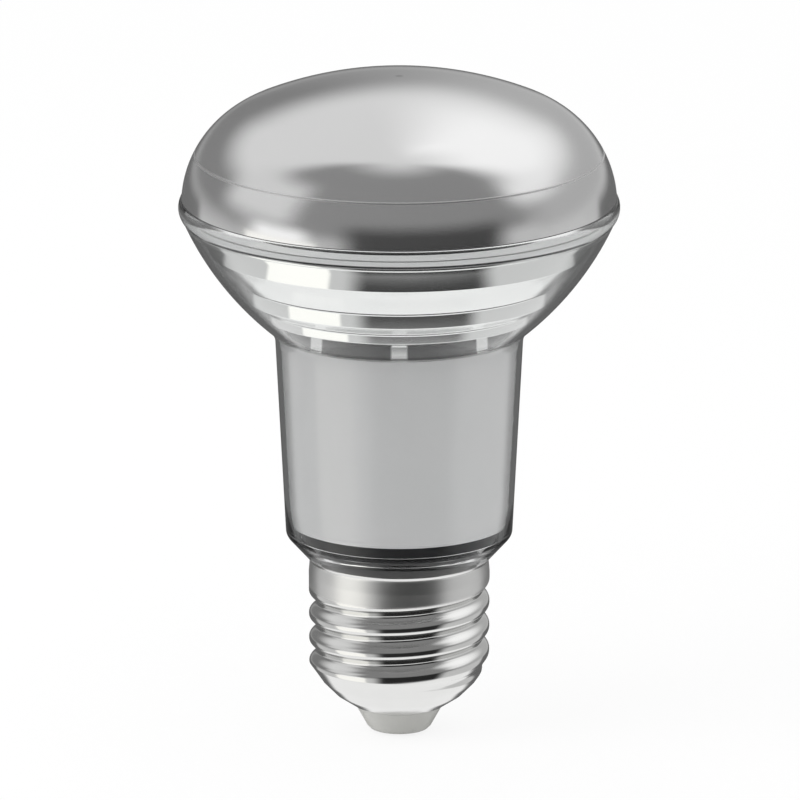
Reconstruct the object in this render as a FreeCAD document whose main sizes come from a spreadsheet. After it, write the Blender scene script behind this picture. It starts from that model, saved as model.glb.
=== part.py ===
import FreeCAD, Part

# Reflector lamp: a clear bellied body on a screw cap, a stepped mirror bowl behind the bell, a satin domed
# cover, and the light board, its metal sleeve and the driver inside.
# Lengths are in millimetres. The origin is the middle of the centre contact's lower face, and +Z runs up the
# lamp's axis to the crown of the cover. Every turned piece turns about that axis. The driver's board lies in
# the XZ plane.

import math
import os
import re

import Sketcher

# Driving dimensions: alias, value, meaning. Slopes are degrees from the lamp's axis.
SIZES = [
    ("skirt_radius", 13.12, "outside of the cap's plain skirt"),
    ("skirt_height", 4.9, "the skirt, from the thread up to the cap's rim"),
    ("cap_wall", 0.3, "thickness of the rolled sheet"),
    ("crest_inset", 0.02, "thread crests inside the skirt's radius"),
    ("thread_depth", 1.1, "crest to root"),
    ("thread_pitch", 3.629, "crest to crest"),
    ("crest_land", 0.95, "height of a crest's and of a root's round"),
    ("thread_runout", 1.5, "last root up to the skirt"),
    ("cone_step", 0.26, "cone's wide end outside the thread's root"),
    ("cone_land", 0.56, "cone's wide end up to the first root"),
    ("waist_share", 0.759, "cone's waist, as a share of its wide end"),
    ("cone_rise", 3.75, "waist up to the cone's wide end"),
    ("mouth_share", 0.72, "cap's lower mouth, as a share of the waist"),
    ("mouth_rise", 1.75, "mouth's edge up to the waist"),
    ("mouth_height", 4.1, "height of the mouth's edge"),
    ("insulator_share", 0.668, "insulator's flat, as a share of its widest part"),
    ("insulator_round", 0.45, "turned edge round the flat"),
    ("insulator_lip", 0.2, "insulator's widest part below the mouth's edge"),
    ("insulator_rise", 1.75, "insulator's top above the cap's waist"),
    ("stem_gap", 0.15, "contact's stem to the insulator's hole"),
    ("contact_radius", 2.3, "button of the centre contact"),
    ("contact_height", 0.4, "thickness of the button"),
    ("contact_round", 0.15, "turned edge of the button"),
    ("stem_bore", 0.75, "inside of the contact's hollow stem"),
    ("stem_wall", 0.4, "wall of the stem"),
    ("stem_drop", 1.2, "stem's end below the insulator's top"),
    ("collar_gap", 0.1, "body's collar to the cap's skirt and thread"),
    ("collar_wall", 1.25, "wall of the body's collar"),
    ("seat_gap", 0.05, "between pieces that seat face to face"),
    ("foot_step", 0.28, "narrow end of the body's foot outside the cap's skirt"),
    ("foot_slope", 42.0, "slope of the foot"),
    ("foot_round", 1.2, "round from the foot to the neck"),
    ("floor_drop", 0.33, "floor inside the foot below the foot's top"),
    ("floor_inset", 1.48, "floor's edge inside the foot's top"),
    ("neck_flare", 2.99, "neck just above the foot outside the foot's narrow end"),
    ("neck_slope", 2.95, "slope of the neck"),
    ("neck_length", 28.2, "straight length of the neck along the axis"),
    ("neck_fillet", 3.0, "hollow round from the neck to the bell"),
    ("bell_curve", 45.0, "radius of the bell's belly"),
    ("bell_base_slope", 50.0, "slope of the bell at its foot"),
    ("bell_top_slope", 24.0, "slope of the bell under the lip"),
    ("body_wall", 0.7, "wall of the clear body"),
    ("lip_flare", 0.24, "rim outside the top of the bell"),
    ("lip_height", 2.86, "height of the lip"),
    ("lip_curve", 2.3, "round of the lip"),
    ("lip_wall", 1.0, "wall of the lip round the cover's spigot"),
    ("lip_seat_depth", 2.0, "depth of the spigot's seat"),
    ("cover_inset", 0.1, "cover inside the rim's outer edge"),
    ("cover_wall", 1.9, "wall of the cover"),
    ("band_height", 0.4, "straight foot of the cover's side band"),
    ("cover_slope", 5.0, "slope of the side band's foot"),
    ("shoulder_curve", 15.6, "round of the cover's shoulder"),
    ("crown_curve", 55.0, "radius of the crown"),
    ("seam_angle", 28.6, "place of the seam ring on the shoulder, degrees above its centre"),
    ("seam_half_angle", 0.5, "half of the seam's width as an angle of the shoulder"),
    ("seam_depth", 0.15, "depth of the seam ring"),
    ("spigot_gap", 0.1, "spigot to its seat"),
    ("spigot_depth", 1.5, "how far the spigot goes into the lip"),
    ("bowl_gap", 0.15, "reflector's rim to the body and to the spigot"),
    ("upper_top_share", 0.025, "top of the upper mirror band, as a share of the bell's height from its top"),
    ("upper_base_share", 0.229, "its foot"),
    ("middle_top_share", 0.513, "top of the middle mirror band"),
    ("middle_base_share", 0.631, "its foot"),
    ("lower_top_share", 0.736, "top of the lower mirror band"),
    ("lower_base_share", 0.81, "its foot"),
    ("bowl_collar_share", 0.9, "top of the reflector's collar"),
    ("band_gap", 0.5, "foot of each band to the body's inside"),
    ("bowl_wall", 0.8, "reflector's wall under the upper band"),
    ("bowl_curve", 60.0, "round of the reflector's inside"),
    ("bowl_collar_gap", 0.5, "collar inside the neck's bore"),
    ("bowl_collar_wall", 1.2, "wall of the collar"),
    ("sleeve_gap", 0.1, "metal sleeve to the neck's bore"),
    ("sleeve_wall", 1.0, "wall of the sleeve"),
    ("sleeve_rise", 1.95, "top of the sleeve's shelf above the neck"),
    ("sleeve_base_gap", 1.5, "sleeve's lower edge above the foot's round"),
    ("sleeve_edge", 0.35, "turned edge of the shelf"),
    ("shelf_thickness", 1.6, "shelf across the top of the sleeve"),
    ("boss_radius", 1.9, "screw boss under the shelf"),
    ("boss_length", 3.4, "length of a boss"),
    ("screw_ring_gap", 3.65, "screws outside the ring of light sources"),
    ("screw_radius", 1.0, "shank of a board screw"),
    ("screw_gap", 0.06, "shank to the boss's hole"),
    ("screw_length", 5.2, "length of the shank under the board's face"),
    ("screw_head_radius", 1.9, "head of a board screw"),
    ("screw_head_height", 1.3, "height of the head"),
    ("screw_recess", 0.75, "recess in the head"),
    ("board_edge_gap", 0.35, "light board inside the reflector's collar"),
    ("light_board_thickness", 1.2, "metal-core light board"),
    ("chip_count", 6, "light sources on the board"),
    ("chip_gap", 0.4, "light sources outside the wires' ends"),
    ("chip_side", 3.0, "side of a light source"),
    ("chip_height", 0.75, "height of a light source"),
    ("chip_edge", 0.2, "chamfer of a light source"),
    ("wire_radius", 0.45, "insulated wire"),
    ("wire_gap", 0.3, "wire to the hole it goes through"),
    ("wire_spread", 2.6, "light board's wires from the axis"),
    ("wire_rise", 1.5, "height of the wires' bend above the light board"),
    ("wire_bend", 0.7, "bend of the wires over the light board"),
    ("joint_gap", 0.1, "solder joint between a wire and a board's edge"),
    ("housing_gap", 0.3, "driver housing to the sleeve and to the collar"),
    ("housing_wall", 1.0, "wall of the driver housing"),
    ("housing_top_gap", 0.4, "housing below the screw bosses"),
    ("rib_thickness", 0.8, "ribs that hold the driver board"),
    ("rib_depth", 1.6, "depth of the ribs"),
    ("rib_gap", 0.15, "board to the ribs"),
    ("board_thickness", 1.0, "driver board"),
    ("board_side_gap", 0.4, "driver board to the housing's wall"),
    ("board_end_gap", 0.4, "driver board above the housing's floor"),
    ("board_top_gap", 1.0, "driver board below the housing's top"),
    ("part_gap", 0.1, "component to the driver board's face"),
    ("lead_radius", 0.3, "component lead"),
    ("lead_gap", 0.08, "lead to its hole"),
    ("input_can_radius", 4.0, "input capacitor"),
    ("input_can_share", 0.84, "its axis up the driver board, as a share of the board's height"),
    ("input_lead_spread", 1.75, "its leads from its axis"),
    ("output_can_radius", 3.15, "output capacitor"),
    ("output_can_inset", 3.4, "its end short of the input capacitor's"),
    ("output_can_share", 0.592, "its axis up the board"),
    ("output_lead_spread", 1.25, "its leads from its axis"),
    ("can_gap", 0.9, "input capacitor's end to the housing"),
    ("can_round", 0.4, "round of a can's end"),
    ("can_groove", 0.3, "depth of a can's sealing groove"),
    ("drum_radius", 4.0, "flange of the inductor's core"),
    ("drum_flange", 1.1, "thickness of a flange"),
    ("drum_core_radius", 1.8, "core between the flanges"),
    ("drum_inset", 2.3, "core's end short of the input capacitor's"),
    ("drum_share", 0.815, "its axis up the board"),
    ("drum_lead_spread", 3.0, "its leads from its axis"),
    ("winding_gap", 0.1, "winding to the core"),
    ("winding_inset", 0.5, "winding inside the flanges' edge"),
    ("film_width", 7.2, "film capacitor"),
    ("film_depth", 4.2, "how far it stands off the board"),
    ("film_height", 6.5, "its height along the lamp"),
    ("film_edge", 0.5, "chamfer of its case"),
    ("film_share", 0.56, "its middle up the board"),
    ("film_lead_spread", 2.6, "its leads from its middle"),
    ("bridge_width", 4.8, "bridge rectifier"),
    ("bridge_height", 6.4, "its height along the lamp"),
    ("bridge_depth", 2.2, "how far it stands off the board"),
    ("bridge_share", 0.312, "its middle up the board"),
    ("driver_chip_width", 3.9, "driver chip"),
    ("driver_chip_height", 4.9, "its height along the lamp"),
    ("driver_chip_depth", 1.5, "how far it stands off the board"),
    ("driver_chip_share", 0.125, "its middle up the board"),
    ("pin_length", 1.0, "foot of a chip's pin"),
    ("pin_width", 0.45, "width of a pin"),
    ("pin_thickness", 0.25, "thickness of a pin"),
    ("resistor_radius", 1.2, "fusible resistor"),
    ("resistor_length", 6.0, "its body"),
    ("resistor_waist", 1.0, "its body between the end beads"),
    ("resistor_bead", 1.2, "length of an end bead"),
    ("resistor_lead", 2.0, "its leads beyond its body"),
    ("resistor_offset", 5.0, "its axis to the side of the lamp's axis"),
    ("resistor_height", 2.0, "its axis off the board's face"),
    ("resistor_share", 0.2, "its middle up the board"),
    ("resistor_bend", 0.8, "bend of its leads"),
    ("neutral_offset", 6.0, "cap wire to the side of the lamp's axis"),
    ("neutral_bend", 1.2, "bend of the cap wire"),
    ("neutral_rise", 0.5, "cap wire above the cone's wide end"),
    ("live_depth", 1.2, "live wire's end above the contact's button"),
]

RING_COUNT = 3  # rolled rings of the cap
BULGE_LEFT = 1  # an arc that bulges to the left of the way it is drawn
BULGE_RIGHT = -1


def up_board(share):
    """Height of a place on the driver board, from its share of the way up."""
    return f"(board_foot_z + {share} * (board_top_z - board_foot_z))"


def down_bell(share):
    """Height of a place on the bell, from its share of the way down."""
    return f"(bell_top_z - {share} * (bell_top_z - bell_base_z))"


def bore_at(height):
    """Radius of the bell's inside at a height."""
    return f"(bell_centre_r + sqrt((bell_curve - body_wall) ^ 2 - (bell_centre_z - ({height})) ^ 2))"


def sleeve_at(height):
    """Outside radius of the metal sleeve at a height."""
    return f"(neck_bore_top_r - sleeve_gap + (({height}) - neck_bore_top_z) * tan(neck_slope))"


# Places worked out from the driving dimensions, each named for the corner or line that it sets.
PLACES = [
    ("crest_radius", "skirt_radius - crest_inset"),
    ("root_radius", "crest_radius - thread_depth"),
    ("cone_radius", "root_radius + cone_step"),
    ("waist_radius", "cone_radius * waist_share"),
    ("waist_height", "mouth_height + mouth_rise"),
    ("mouth_radius", "waist_radius * mouth_share"),
    ("cone_height", "waist_height + cone_rise"),
    ("thread_base", "cone_height + cone_land"),
    ("thread_top", f"thread_base + {RING_COUNT} * thread_pitch - crest_land"),
    ("skirt_base", "thread_top + thread_runout"),
    ("cap_height", "skirt_base + skirt_height"),
    ("cone_lean", "(cone_radius - waist_radius) / cone_rise"),
    ("insulator_base", "contact_height + seat_gap"),
    ("insulator_shoulder_r", "mouth_radius - cap_wall - seat_gap"),
    ("insulator_side_z", "insulator_base + insulator_round"),
    ("insulator_foot_r", "insulator_shoulder_r * insulator_share"),
    ("insulator_side_r", "insulator_foot_r + insulator_round"),
    ("insulator_top", "waist_height + insulator_rise"),
    ("stem_radius", "stem_bore + stem_wall"),
    ("stem_height", "insulator_top - stem_drop"),
    ("insulator_bore", "stem_radius + stem_gap"),
    ("collar_radius", "skirt_radius - cap_wall - collar_gap"),
    ("collar_bore", "collar_radius - collar_wall"),
    ("collar_base", "skirt_base + cap_wall + collar_gap"),
    ("body_base", "cap_height + seat_gap"),
    ("foot_radius", "skirt_radius + foot_step"),
    ("neck_base_radius", "foot_radius + neck_flare"),
    ("foot_top_r", "neck_base_radius - foot_round * (cos(neck_slope) - cos(foot_slope))"),
    ("foot_top_z", "body_base + (foot_top_r - foot_radius) / tan(foot_slope)"),
    ("floor_z", "foot_top_z - floor_drop"),
    ("floor_r", "foot_top_r - floor_inset"),
    ("neck_base_z", "foot_top_z + foot_round * (sin(foot_slope) - sin(neck_slope))"),
    ("neck_top_r", "neck_base_radius + neck_length * tan(neck_slope)"),
    ("neck_top_z", "neck_base_z + neck_length"),
    ("bell_base_r", "neck_top_r + neck_fillet * (cos(neck_slope) - cos(bell_base_slope))"),
    ("bell_base_z", "neck_top_z + neck_fillet * (sin(bell_base_slope) - sin(neck_slope))"),
    ("bell_centre_r", "bell_base_r - bell_curve * cos(bell_base_slope)"),
    ("bell_centre_z", "bell_base_z + bell_curve * sin(bell_base_slope)"),
    ("bell_top_r", "bell_centre_r + bell_curve * cos(bell_top_slope)"),
    ("bell_top_z", "bell_centre_z - bell_curve * sin(bell_top_slope)"),
    ("rim_radius", "bell_top_r + lip_flare"),
    ("rim_z", "bell_top_z + lip_height"),
    ("seat_radius", "rim_radius - lip_wall"),
    ("bell_bore_top_r", "bell_top_r - body_wall * cos(bell_top_slope)"),
    ("bell_bore_top_z", "bell_top_z + body_wall * sin(bell_top_slope)"),
    ("bell_bore_base_r", "bell_base_r - body_wall * cos(bell_base_slope)"),
    ("bell_bore_base_z", "bell_base_z + body_wall * sin(bell_base_slope)"),
    ("neck_bore_top_r", "neck_top_r - body_wall * cos(neck_slope)"),
    ("neck_bore_top_z", "neck_top_z + body_wall * sin(neck_slope)"),
    ("neck_bore_base_r", "neck_base_radius - body_wall * cos(neck_slope)"),
    ("neck_bore_base_z", "neck_base_z + body_wall * sin(neck_slope)"),
    ("cover_radius", "rim_radius - cover_inset"),
    ("cover_base_z", "rim_z + seat_gap"),
    ("band_top_z", "cover_base_z + band_height"),
    ("shoulder_r", "cover_radius - shoulder_curve * cos(cover_slope)"),
    ("shoulder_z", "band_top_z - shoulder_curve * sin(cover_slope)"),
    ("crown_cos", "shoulder_r / (crown_curve - shoulder_curve)"),
    ("crown_sin", "sqrt(1 - crown_cos ^ 2)"),
    ("crown_centre_z", "shoulder_z - (crown_curve - shoulder_curve) * crown_sin"),
    ("spigot_radius", "seat_radius - spigot_gap"),
    ("spigot_base_z", "rim_z - spigot_depth"),
    ("band_bore_r", "cover_radius - cover_wall * cos(cover_slope)"),
    ("bowl_rim_r", bore_at("bell_top_z") + " - bowl_gap"),
    ("bowl_top_z", "spigot_base_z - bowl_gap"),
    ("upper_band_r", bore_at(down_bell("upper_base_share")) + " - band_gap"),
    ("middle_band_r", bore_at(down_bell("middle_base_share")) + " - band_gap"),
    ("lower_band_r", bore_at(down_bell("lower_base_share")) + " - band_gap"),
    ("shelf_z", "neck_top_z + sleeve_rise"),
    ("shelf_base_z", "shelf_z - shelf_thickness"),
    ("bowl_collar_r", "neck_bore_top_r - bowl_collar_gap"),
    ("bowl_collar_bore", "bowl_collar_r - bowl_collar_wall"),
    ("bowl_collar_z", down_bell("bowl_collar_share")),
    ("sleeve_top_r", sleeve_at("shelf_z - sleeve_edge")),
    ("sleeve_base_z", "neck_base_z + sleeve_base_gap"),
    ("sleeve_base_r", sleeve_at("sleeve_base_z")),
    ("light_board_r", "bowl_collar_bore - board_edge_gap"),
    ("light_board_z", "shelf_z + seat_gap"),
    ("light_face_z", "light_board_z + light_board_thickness"),
    ("wire_end", "wire_spread + 2 * wire_bend"),
    ("chip_ring", "wire_end + wire_radius + chip_gap + chip_side / 2"),
    ("screw_ring", "chip_ring + screw_ring_gap"),
    ("housing_r", "sleeve_base_r - sleeve_wall - housing_gap"),
    ("housing_bore", "housing_r - housing_wall"),
    ("tail_r", "collar_bore - housing_gap"),
    ("tail_bore", "tail_r - housing_wall"),
    ("neutral_z", "cone_height + neutral_rise"),
    ("housing_base", "neutral_z + neutral_bend + wire_gap"),
    ("housing_step_z", "floor_z + joint_gap"),
    ("housing_ledge_z", "housing_step_z + housing_wall"),
    ("housing_floor_z", "housing_base + housing_wall"),
    ("housing_top_z", "shelf_base_z - boss_length - housing_top_gap"),
    ("board_foot_z", "housing_floor_z + board_end_gap"),
    ("board_step_z", "housing_ledge_z + board_end_gap"),
    ("board_top_z", "housing_top_z - board_top_gap"),
    ("board_half", "board_thickness / 2"),
    ("board_wide", "housing_bore - board_side_gap"),
    ("board_narrow", "tail_bore - board_side_gap"),
    ("part_face", "board_half + part_gap"),
    ("wire_hole", "wire_radius + wire_gap"),
    ("lead_hole", "lead_radius + lead_gap"),
    ("lead_length", "part_gap + board_thickness"),
    ("can_reach", "sqrt((housing_bore - can_gap) ^ 2 - input_can_radius ^ 2)"),
    ("input_can_length", "can_reach - part_face"),
    ("output_can_length", "input_can_length - output_can_inset"),
    ("drum_length", "input_can_length - drum_inset"),
    ("input_z", up_board("input_can_share")),
    ("output_z", up_board("output_can_share")),
    ("drum_z", up_board("drum_share")),
    ("film_z", up_board("film_share")),
    ("bridge_z", up_board("bridge_share")),
    ("driver_chip_z", up_board("driver_chip_share")),
    ("resistor_z", up_board("resistor_share")),
    ("resistor_span", "resistor_length + 2 * resistor_lead"),
]

SIZE_NAMES = {alias for alias, value, meaning in SIZES}
PLACE_NAMES = {name for name, formula in PLACES}


def full(text):
    """A formula with each size and place named by the object that holds it."""

    def owner(word):
        name = word.group(0)
        if name in SIZE_NAMES:
            return "Sizes." + name
        if name in PLACE_NAMES:
            return "Places." + name
        return name

    return re.sub(r"[a-z][a-z0-9_]*", owner, str(text))


def make_sizes(doc):
    """The sheet of driving dimensions and the places that follow from them."""
    sheet = doc.addObject("Spreadsheet::Sheet", "Sizes")
    for row, (alias, value, meaning) in enumerate(SIZES, start=1):
        sheet.set(f"A{row}", str(value))
        sheet.setAlias(f"A{row}", alias)
        sheet.set(f"B{row}", meaning)
    doc.recompute()
    places = doc.addObject("App::VarSet", "Places")
    for name, formula in PLACES:
        places.addProperty("App::PropertyFloat", name, "Places")
    for name, formula in PLACES:
        places.setExpression(name, full(formula))
    doc.recompute()
    return sheet


def value(doc, text):
    """The present value of a formula, in millimetres or degrees."""
    result = doc.Sizes.evalExpression(full(text))
    return float(getattr(result, "Value", result))


def make_body(doc, label):
    """An empty body that will hold one sub-part."""
    body = doc.addObject("PartDesign::Body", label)
    body.Label = label
    return body


def origin_plane(body, role):
    """One of the body's own origin planes."""
    return next(plane for plane in body.Origin.OriginFeatures if plane.Role == role)


def make_sketch(body, name, role, height=None):
    """A sketch on one of the body's origin planes, raised by a formula where one is given."""
    sketch = body.newObject("Sketcher::SketchObject", name)
    sketch.AttachmentSupport = [(origin_plane(body, role), "")]
    sketch.MapMode = "FlatFace"
    if height is not None:
        sketch.setExpression(".AttachmentOffset.Base.z", full(height))
    return sketch


def bind(sketch, constraint, formula):
    """Adds a named constraint whose value follows a formula."""
    index = sketch.addConstraint(constraint)
    name = f"size{index}"
    sketch.renameConstraint(index, name)
    sketch.setExpression(f".Constraints.{name}", full(formula))


def fix_point(sketch, edge, spot, across, up):
    """Holds a point of an edge at its two distances from the sketch's origin."""
    doc = sketch.Document
    if str(across) == "0":
        sketch.addConstraint(Sketcher.Constraint("PointOnObject", edge, spot, -2))
    else:
        bind(sketch, Sketcher.Constraint("DistanceX", -1, 1, edge, spot, value(doc, across)), across)
    if str(up) == "0":
        sketch.addConstraint(Sketcher.Constraint("PointOnObject", edge, spot, -1))
    else:
        bind(sketch, Sketcher.Constraint("DistanceY", -1, 1, edge, spot, value(doc, up)), up)


def add_edge(sketch, begin, end, radius, bulge):
    """Adds a line, or an arc of a radius that bulges to one side, and returns it with its two end spots."""
    if radius is None:
        return sketch.addGeometry(Part.LineSegment(begin, end)), 1, 2
    middle = (begin + end) * 0.5
    along = end - begin
    left = FreeCAD.Vector(-along.y, along.x, 0).normalize()
    reach = math.sqrt(radius**2 - (along.Length / 2) ** 2)
    centre = middle - left * (reach * bulge)
    circle = Part.Circle(centre, FreeCAD.Vector(0, 0, 1), radius)
    turns = [math.atan2(point.y - centre.y, point.x - centre.x) for point in (begin, end)]
    if bulge == BULGE_LEFT:
        return sketch.addGeometry(Part.ArcOfCircle(circle, turns[1], turns[0])), 2, 1
    return sketch.addGeometry(Part.ArcOfCircle(circle, turns[0], turns[1])), 1, 2


def draw(sketch, corners, closed=True):
    """Draws an outline. Each corner is (across, up), with (radius, bulge) too where an arc leaves it."""
    doc = sketch.Document
    points = [FreeCAD.Vector(value(doc, corner[0]), value(doc, corner[1]), 0) for corner in corners]
    count = len(corners) if closed else len(corners) - 1
    edges = []
    for index in range(count):
        corner = corners[index]
        radius, bulge = corner[2:] if len(corner) == 4 else (None, None)
        size = None if radius is None else value(doc, radius)
        edge = add_edge(sketch, points[index], points[(index + 1) % len(points)], size, bulge)
        edges.append(edge)
        if radius is not None:
            bind(sketch, Sketcher.Constraint("Radius", edge[0], size), radius)
    for index in range(count if closed else count - 1):
        edge, after = edges[index], edges[(index + 1) % count]
        sketch.addConstraint(Sketcher.Constraint("Coincident", edge[0], edge[2], after[0], after[1]))
    for index, (edge, begin, end) in enumerate(edges):
        fix_point(sketch, edge, begin, corners[index][0], corners[index][1])
    if not closed:
        edge, begin, end = edges[-1]
        fix_point(sketch, edge, end, corners[-1][0], corners[-1][1])


def draw_circles(sketch, circles):
    """Draws circles, each (across, up, radius)."""
    doc = sketch.Document
    for across, up, radius in circles:
        centre = FreeCAD.Vector(value(doc, across), value(doc, up), 0)
        size = value(doc, radius)
        edge = sketch.addGeometry(Part.Circle(centre, FreeCAD.Vector(0, 0, 1), size))
        bind(sketch, Sketcher.Constraint("Radius", edge, size), radius)
        fix_point(sketch, edge, 3, across, up)


def box_corners(left, right, low, high):
    """The four corners of an upright rectangle."""
    return [(left, low), (right, low), (right, high), (left, high)]


def turn(body, name, corners):
    """Turns a half outline, drawn in the XZ plane, about the Z axis."""
    sketch = make_sketch(body, name + "_outline", "XZ_Plane")
    draw(sketch, corners)
    feature = body.newObject("PartDesign::Revolution", name)
    feature.Profile = sketch
    feature.ReferenceAxis = (sketch, ["V_Axis"])
    feature.Angle = 360
    return feature


def raise_pad(body, name, sketch, length, down=False):
    """Pads a sketch by a length, up its normal or down."""
    feature = body.newObject("PartDesign::Pad", name)
    feature.Profile = sketch
    feature.setExpression("Length", full(length))
    feature.Reversed = down
    return feature


def cut_through(body, name, sketch):
    """Pockets a sketch right through the body, both ways."""
    feature = body.newObject("PartDesign::Pocket", name)
    feature.Profile = sketch
    feature.Type = "ThroughAll"
    feature.Midplane = True
    return feature


def sweep(body, name, route, radius, plane, start):
    """Sweeps a round section along a route. The section lies in a plane across the route's start."""
    spine = make_sketch(body, name + "_route", plane)
    draw(spine, route, closed=False)
    role, height, across, up = start
    section = make_sketch(body, name + "_section", role, height)
    draw_circles(section, [(across, up, radius)])
    feature = body.newObject("PartDesign::AdditivePipe", name)
    feature.Profile = section
    feature.Spine = spine
    return feature


def place(body, across, depth, height, turned=0):
    """Puts a finished body in its place, turned about X, from formulas."""
    rotation = FreeCAD.Rotation(FreeCAD.Vector(1, 0, 0), turned)
    body.Placement = FreeCAD.Placement(FreeCAD.Vector(0, 0, 0), rotation)
    body.setExpression(".Placement.Base.x", full(across))
    body.setExpression(".Placement.Base.y", full(depth))
    body.setExpression(".Placement.Base.z", full(height))


# Screw cap


def rolled_side(inset):
    """The cap's side from its mouth to its rim, moved in by an inset: cone, rolled rings and skirt."""
    corners = [
        (f"mouth_radius - {inset}", f"mouth_height + {inset}"),
        (f"waist_radius - {inset}", f"waist_height + {inset} / 2"),
        (f"cone_radius - {inset}", f"cone_height + {inset} / 2"),
    ]
    for ring in range(RING_COUNT):
        middle = f"thread_base + (thread_pitch - crest_land) / 2 + {ring} * thread_pitch"
        corners += [
            (f"root_radius - {inset}", f"{middle} - (thread_pitch - crest_land) / 2"),
            (f"crest_radius - {inset}", f"{middle} - crest_land / 2"),
            (f"crest_radius - {inset}", f"{middle} + crest_land / 2"),
            (f"root_radius - {inset}", f"{middle} + (thread_pitch - crest_land) / 2"),
        ]
    corners += [
        (f"skirt_radius - {inset}", "skirt_base"),
        (f"skirt_radius - {inset}", "cap_height"),
    ]
    return corners


def make_cap_shell(doc):
    """Thin sheet cap: cone, rolled rings for the holder's thread, plain skirt."""
    body = make_body(doc, "cap_shell")
    turn(body, "cap_sheet", rolled_side("0") + rolled_side("cap_wall")[::-1])


def make_cap_insulator(doc):
    """Insulating cone that fills the cap's mouth round the contact's stem."""
    body = make_body(doc, "cap_insulator")
    lower_r = "waist_radius - cap_wall - seat_gap"
    lower_z = "waist_height + cap_wall"
    corners = [
        ("insulator_bore", "insulator_base"),
        ("insulator_foot_r", "insulator_base"),
        ("insulator_side_r", "insulator_side_z"),
        ("insulator_shoulder_r", "mouth_height - insulator_lip"),
        ("insulator_shoulder_r", "mouth_height + cap_wall + seat_gap"),
        (lower_r, lower_z),
        (f"{lower_r} + (insulator_top - ({lower_z})) * cone_lean - seat_gap", "insulator_top"),
        ("insulator_bore", "insulator_top"),
    ]
    turn(body, "insulator_cone", corners)


def make_centre_contact(doc):
    """Contact button with a hollow stem, pressed from one blank."""
    body = make_body(doc, "centre_contact")
    corners = [
        ("0", "0"),
        ("contact_radius - contact_round", "0"),
        ("contact_radius", "contact_round"),
        ("contact_radius", "contact_height"),
        ("stem_radius", "contact_height"),
        ("stem_radius", "stem_height"),
        ("stem_bore", "stem_height"),
        ("stem_bore", "contact_height"),
        ("0", "contact_height"),
    ]
    turn(body, "contact_button", corners)


# Clear body and cover


def make_outer_body(doc):
    """Clear body: collar, foot, neck, bell and lip in one even wall, open at both ends."""
    body = make_body(doc, "outer_body")
    corners = [
        ("collar_radius", "collar_base"),
        ("collar_radius", "body_base"),
        ("foot_radius", "body_base"),
        ("foot_top_r", "foot_top_z", "foot_round", BULGE_RIGHT),
        ("neck_base_radius", "neck_base_z"),
        ("neck_top_r", "neck_top_z", "neck_fillet", BULGE_LEFT),
        ("bell_base_r", "bell_base_z", "bell_curve", BULGE_RIGHT),
        ("bell_top_r", "bell_top_z", "lip_curve", BULGE_RIGHT),
        ("rim_radius", "rim_z"),
        ("seat_radius", "rim_z"),
        ("seat_radius", "rim_z - lip_seat_depth"),
        ("bell_bore_top_r", "bell_bore_top_z", "bell_curve - body_wall", BULGE_LEFT),
        ("bell_bore_base_r", "bell_bore_base_z", "neck_fillet + body_wall", BULGE_RIGHT),
        ("neck_bore_top_r", "neck_bore_top_z"),
        ("neck_bore_base_r", "neck_bore_base_z"),
        ("floor_r", "floor_z"),
        ("collar_bore", "floor_z"),
        ("collar_bore", "collar_base"),
    ]
    turn(body, "clear_wall", corners)


def on_shoulder(radius, angle):
    """A place on the round of the cover's shoulder, at a radius and an angle from its centre."""
    return f"shoulder_r + {radius} * cos({angle})", f"shoulder_z + {radius} * sin({angle})"


def under_crown(radius):
    """The place where the shoulder's round meets the crown, at a radius from the round's centre."""
    return f"shoulder_r + {radius} * crown_cos", f"shoulder_z + {radius} * crown_sin"


def make_front_cover(doc):
    """Domed cover: crown and shoulder that meet in one tangent, a seam ring, a side band and a spigot."""
    body = make_body(doc, "front_cover")
    inside = "(shoulder_curve - cover_wall)"
    corners = [
        ("spigot_radius", "spigot_base_z"),
        ("spigot_radius", "cover_base_z"),
        ("cover_radius + band_height * tan(cover_slope)", "cover_base_z"),
        ("cover_radius", "band_top_z", "shoulder_curve", BULGE_RIGHT),
        on_shoulder("shoulder_curve", "seam_angle - seam_half_angle"),
        on_shoulder("(shoulder_curve - seam_depth)", "seam_angle"),
        on_shoulder("shoulder_curve", "seam_angle + seam_half_angle") + ("shoulder_curve", BULGE_RIGHT),
        under_crown("shoulder_curve") + ("crown_curve", BULGE_RIGHT),
        ("0", "crown_centre_z + crown_curve"),
        ("0", "crown_centre_z + crown_curve - cover_wall", "crown_curve - cover_wall", BULGE_LEFT),
        under_crown(inside) + (inside, BULGE_LEFT),
        ("band_bore_r", "band_top_z - cover_wall * sin(cover_slope)"),
        ("band_bore_r", "spigot_base_z"),
    ]
    turn(body, "cover_dome", corners)


# Reflector


def make_reflector(doc):
    """Mirror bowl: rim in the lip, three stepped bands outside, smooth bowl inside, collar on the shelf."""
    body = make_body(doc, "reflector")
    corners = [
        ("bowl_collar_bore", "shelf_z + seat_gap"),
        ("bowl_collar_r", "shelf_z + seat_gap"),
        ("bowl_collar_r", "bowl_collar_z"),
    ]
    for band in ("lower", "middle", "upper"):
        corners += [
            (f"{band}_band_r", down_bell(f"{band}_base_share")),
            (f"{band}_band_r", down_bell(f"{band}_top_share")),
        ]
    corners += [
        ("bowl_rim_r", "bell_top_z"),
        ("bowl_rim_r", "bowl_top_z"),
        ("upper_band_r - bowl_wall", "bowl_top_z", "bowl_curve", BULGE_LEFT),
        ("bowl_collar_bore", "bowl_collar_z"),
    ]
    turn(body, "mirror_bowl", corners)


# Light board and its carrier


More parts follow.
